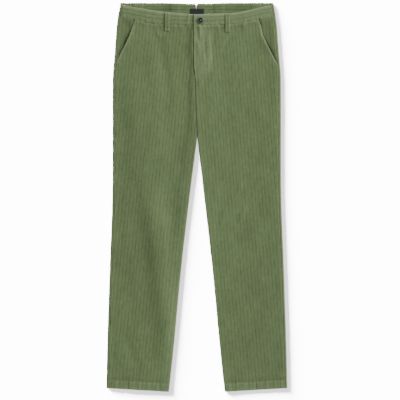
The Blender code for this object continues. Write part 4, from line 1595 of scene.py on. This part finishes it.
def sew(name, paths, finish="thread", pitch=sewing["pitch"], length=sewing["length"], turn=0.0, up=1, seed=1):
    verts, edges = [], []
    for path in paths:
        points = onCloth(path, up)
        points[:, 2] += up * (sewing["thread"] * 0.4 - sewing["sink"])
        edges += [(len(verts) + index, len(verts) + index + 1) for index in range(len(points) - 1)]
        verts += points.tolist()
    mesh = bpy.data.meshes.new(name)
    mesh.from_pydata(verts, edges, [])
    mesh.materials.append(finishes[finish])
    obj = newObject(name, mesh)
    addNodes(obj, sewingTree, {
        "Pitch": pitch, "Length": length, "Thread": sewing["thread"], "Turn": turn, "Wander": 0.09,
        "Up": (0, 0, float(up)), "Seed": seed, "Material": finishes[finish],
    })
    settle(obj)
    return obj


def tack(x, station, width, angle=0.0):
    # the middle line of a bar tack: its stitches lie across it
    reach = width / 2
    ahead = (reach * math.cos(angle), reach * math.sin(angle))
    return along((x - ahead[0], station - ahead[1]), (x + ahead[0], station + ahead[1]), 0.5 * mm)


def rowAcross(side, start, end, stationOf):
    # a row across a side, at the station that stationOf gives
    return [(side * across, float(stationOf(across))) for across in np.arange(start, end, mm)]


def rowDown(side, start, end, key, inset):
    # a row down a side, beside an edge
    return [(side * (float(atStation(side, key, s)) - inset), s) for s in np.arange(start, end, mm)]


def rowsOfSide(side):
    # the rows of one side's front and underside, and their bar tacks, as lists of (x, station)
    hemAt = sewing["hemStation"]
    shown = max(-band["underEnd"], 1 * mm - band["overEnd"]) if side == left else band["overEnd"]
    front = [
        rowAcross(side, shown + 2 * mm, bandSide - 1 * mm,
                  lambda across: atAcross(side, "bandUpper", across) + sewing["inset"]),
        rowAcross(side, shown + 2 * mm, bandSide - 1 * mm,
                  lambda across: atAcross(side, "bandLower", across) - sewing["inset"]),
        rowDown(side, *sewing["pocketRow"], "open", sewing["pocketInset"]),
        rowAcross(side, atStation(side, "front", hemAt) + 1 * mm, atStation(side, "open", hemAt),
                  lambda across: hemLine(side, 1, across) + sewing["hemInset"]),
        rowAcross(side, 4 * mm, bandSide - 4 * mm, lambda across: backEdge(across) + sewing["waistInset"]),
    ]
    under = [
        rowAcross(side, atStation(side, "back", hemAt) + 1 * mm, atStation(side, "outer", hemAt) - 3 * mm,
                  lambda across: hemLine(side, -1, across) + sewing["hemInset"]),
        rowAcross(side, 4 * mm, bandSide - 2 * mm, lambda across: band["backSeam"] - 2 * mm),
        rowAcross(side, 4 * mm, bandSide - 2 * mm, lambda across: 3 * mm),
    ]
    if side == right:
        under.append(rowDown(side, *sewing["riseRow"], "back", -2 * mm))
    middle = loops["front"][side]
    top = float(atAcross(side, "bandUpper", abs(middle))) + loops["start"]
    foot = top + loops["length"]
    places = (top + sewing["loopTacks"][0], foot - sewing["loopTacks"][1])
    tacks = [tack(middle, station, sewing["loopTack"]) for station in places]
    for x in (middle - sewing["loopRow"], middle + sewing["loopRow"]):
        front.append(along((x, top + sewing["loopEnds"][0]), (x, foot - sewing["loopEnds"][1])))
    for s in sewing["pocketTacks"]:
        edge, lower = atStation(side, "open", s), atStation(side, "open", s + sewing["pocketTack"])
        lean = side * math.atan2(edge - lower, sewing["pocketTack"])
        tacks.append(tack(side * (edge - sewing["pocketTackInset"]), s, sewing["pocketTack"], lean))
    underTacks = []
    for middle in (side * each for each in loops["back"]):
        for x in (middle - sewing["loopRow"], middle + sewing["loopRow"]):
            under.append(along(*((x, station) for station in sewing["backLoopRow"])))
        underTacks += [tack(middle, station, sewing["loopTack"]) for station in sewing["backLoopTacks"]]
    return front, under, tacks, underTacks


def flyRows():
    reach, start, length = fly["width"], fly["turn"], fly["turnLength"]
    jay = [(fly["edge"] + reach, s) for s in np.arange(sewing["flyRow"], start, mm)]
    for turn in np.linspace(0, 0.5 * math.pi, 60):
        jay.append((fly["edge"] + reach * math.cos(turn), start + length * math.sin(turn)))
    bandStitch = band["overEnd"] + 2 * mm
    top, foot = sewing["flyEnd"]
    return [jay, along((bandStitch, top), (bandStitch, foot))]


def buttonholePath():
    # round the slot, from behind the button
    start, end, reach = buttonhole["start"], buttonhole["end"], buttonhole["reach"]
    station = waistY - (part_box("button")[0].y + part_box("button")[1].y) / 2
    path = along((start, station - reach), (end, station - reach), 0.5 * mm)
    for turn in np.linspace(-0.45 * math.pi, 0.45 * math.pi, 12):
        path.append((end + reach * math.cos(turn), station + reach * math.sin(turn)))
    return path + along((end, station + reach), (start, station + reach), 0.5 * mm)


def makeStitches():
    front, under, tacks, underTacks = (sum(rows, []) for rows in zip(*map(rowsOfSide, sideName)))
    flyEnd = fly["turn"] + fly["turnLength"] - 1 * mm
    tacks.append(tack(fly["edge"] + 4 * mm, flyEnd, 7 * mm, 0.2))
    barTack = {"pitch": sewing["tackPitch"], "length": sewing["tackLength"], "turn": math.pi / 2}
    holeEdge = {"pitch": buttonhole["pitch"], "length": buttonhole["length"], "turn": math.pi / 2}
    made = [
        sew("stitches_front", front + flyRows()),
        sew("stitches_back", under, up=-1, seed=2),
        sew("barTacks_front", tacks, seed=3, **barTack),
        sew("barTacks_back", underTacks, up=-1, seed=4, **barTack),
        sew("buttonhole", [buttonholePath()], "greyThread", seed=5, **holeEdge),
    ]
    for obj in made:
        declare(obj, [])


makeStitches()
makeButtonThread(*makeButton())
print("stitches and button made")


# floor, light and camera

ground = {"size": 4.0, "depth": 0.5 * mm}


def makeFloor():
    mesh = bpy.data.meshes.new("floor")
    size, low = ground["size"], -ground["depth"]
    mesh.from_pydata([(-size, -size, low), (size, -size, low), (size, size, low), (-size, size, low)],
                     [], [(0, 1, 2, 3)])
    mesh.materials.append(newMaterial("paleFloor", {
        "Base Color": (0.86, 0.86, 0.86, 1), "Roughness": 0.9, "Specular IOR Level": 0.1,
    })[0])
    floor = newObject("floor", mesh)
    floor.visible_diffuse = False      # its own bright light doesn't bounce up on the cloth
    return floor


def addLamp(name, kind, strength, receivers):
    # a lamp that lights only its receivers
    light = bpy.data.lights.new(name, kind)
    light.energy = strength
    lamp = newObject(name, light)
    lit = bpy.data.collections.new(name + "Lit")
    for obj in receivers:
        lit.objects.link(obj)
    lamp.light_linking.receiver_collection = lit
    return lamp


floor = makeFloor()
suns = {
    # degrees from +X towards +Y, degrees above the floor, degrees across, strength
    "keyLight": (22, 24, 34, 5.8, garment),
    "floorLight": (137, 9.7, 27, 270.0, [floor]),
    "floorFill": (90, 89, 8, 4.4, [floor]),
}
topLamp = {"place": (0.15, 1.9, 0.9), "target": (0, 0.2, 0), "size": 0.8, "strength": 11.0}
for name, (azimuth, elevation, breadth, strength, receivers) in suns.items():
    lamp = addLamp(name, "SUN", strength, receivers)
    lamp.data.angle = math.radians(breadth)
    lamp.rotation_euler = (0, math.radians(90 - elevation), math.radians(azimuth))
lamp = addLamp("topLight", "AREA", topLamp["strength"], garment)
lamp.data.shape, lamp.data.size = "DISK", topLamp["size"]
lamp.location = topLamp["place"]
lamp.rotation_euler = (Vector(topLamp["target"]) - lamp.location).to_track_quat("-Z", "Y").to_euler()
world = bpy.data.worlds.new("studio")
world.use_nodes = True
world.node_tree.nodes["Background"].inputs["Color"].default_value = (1, 1, 1, 1)
world.node_tree.nodes["Background"].inputs["Strength"].default_value = 0.55
bpy.context.scene.world = world

view = {"width": 1.1165, "lens": 100.0, "sensor": 36.0, "shift": (9.0 * mm, -7.8 * mm), "lift": 8 * mm}
cameraData = bpy.data.cameras.new("camera")
cameraData.lens, cameraData.sensor_width = view["lens"], view["sensor"]
camera = newObject("camera", cameraData)
height = view["width"] / 2 / (view["sensor"] / 2 / view["lens"])
middle = (cadLow + cadHigh) / 2
camera.location = (middle.x + view["shift"][0], middle.y + view["shift"][1], height + view["lift"])
bpy.context.scene.camera = camera
print("stage, light and camera ready")
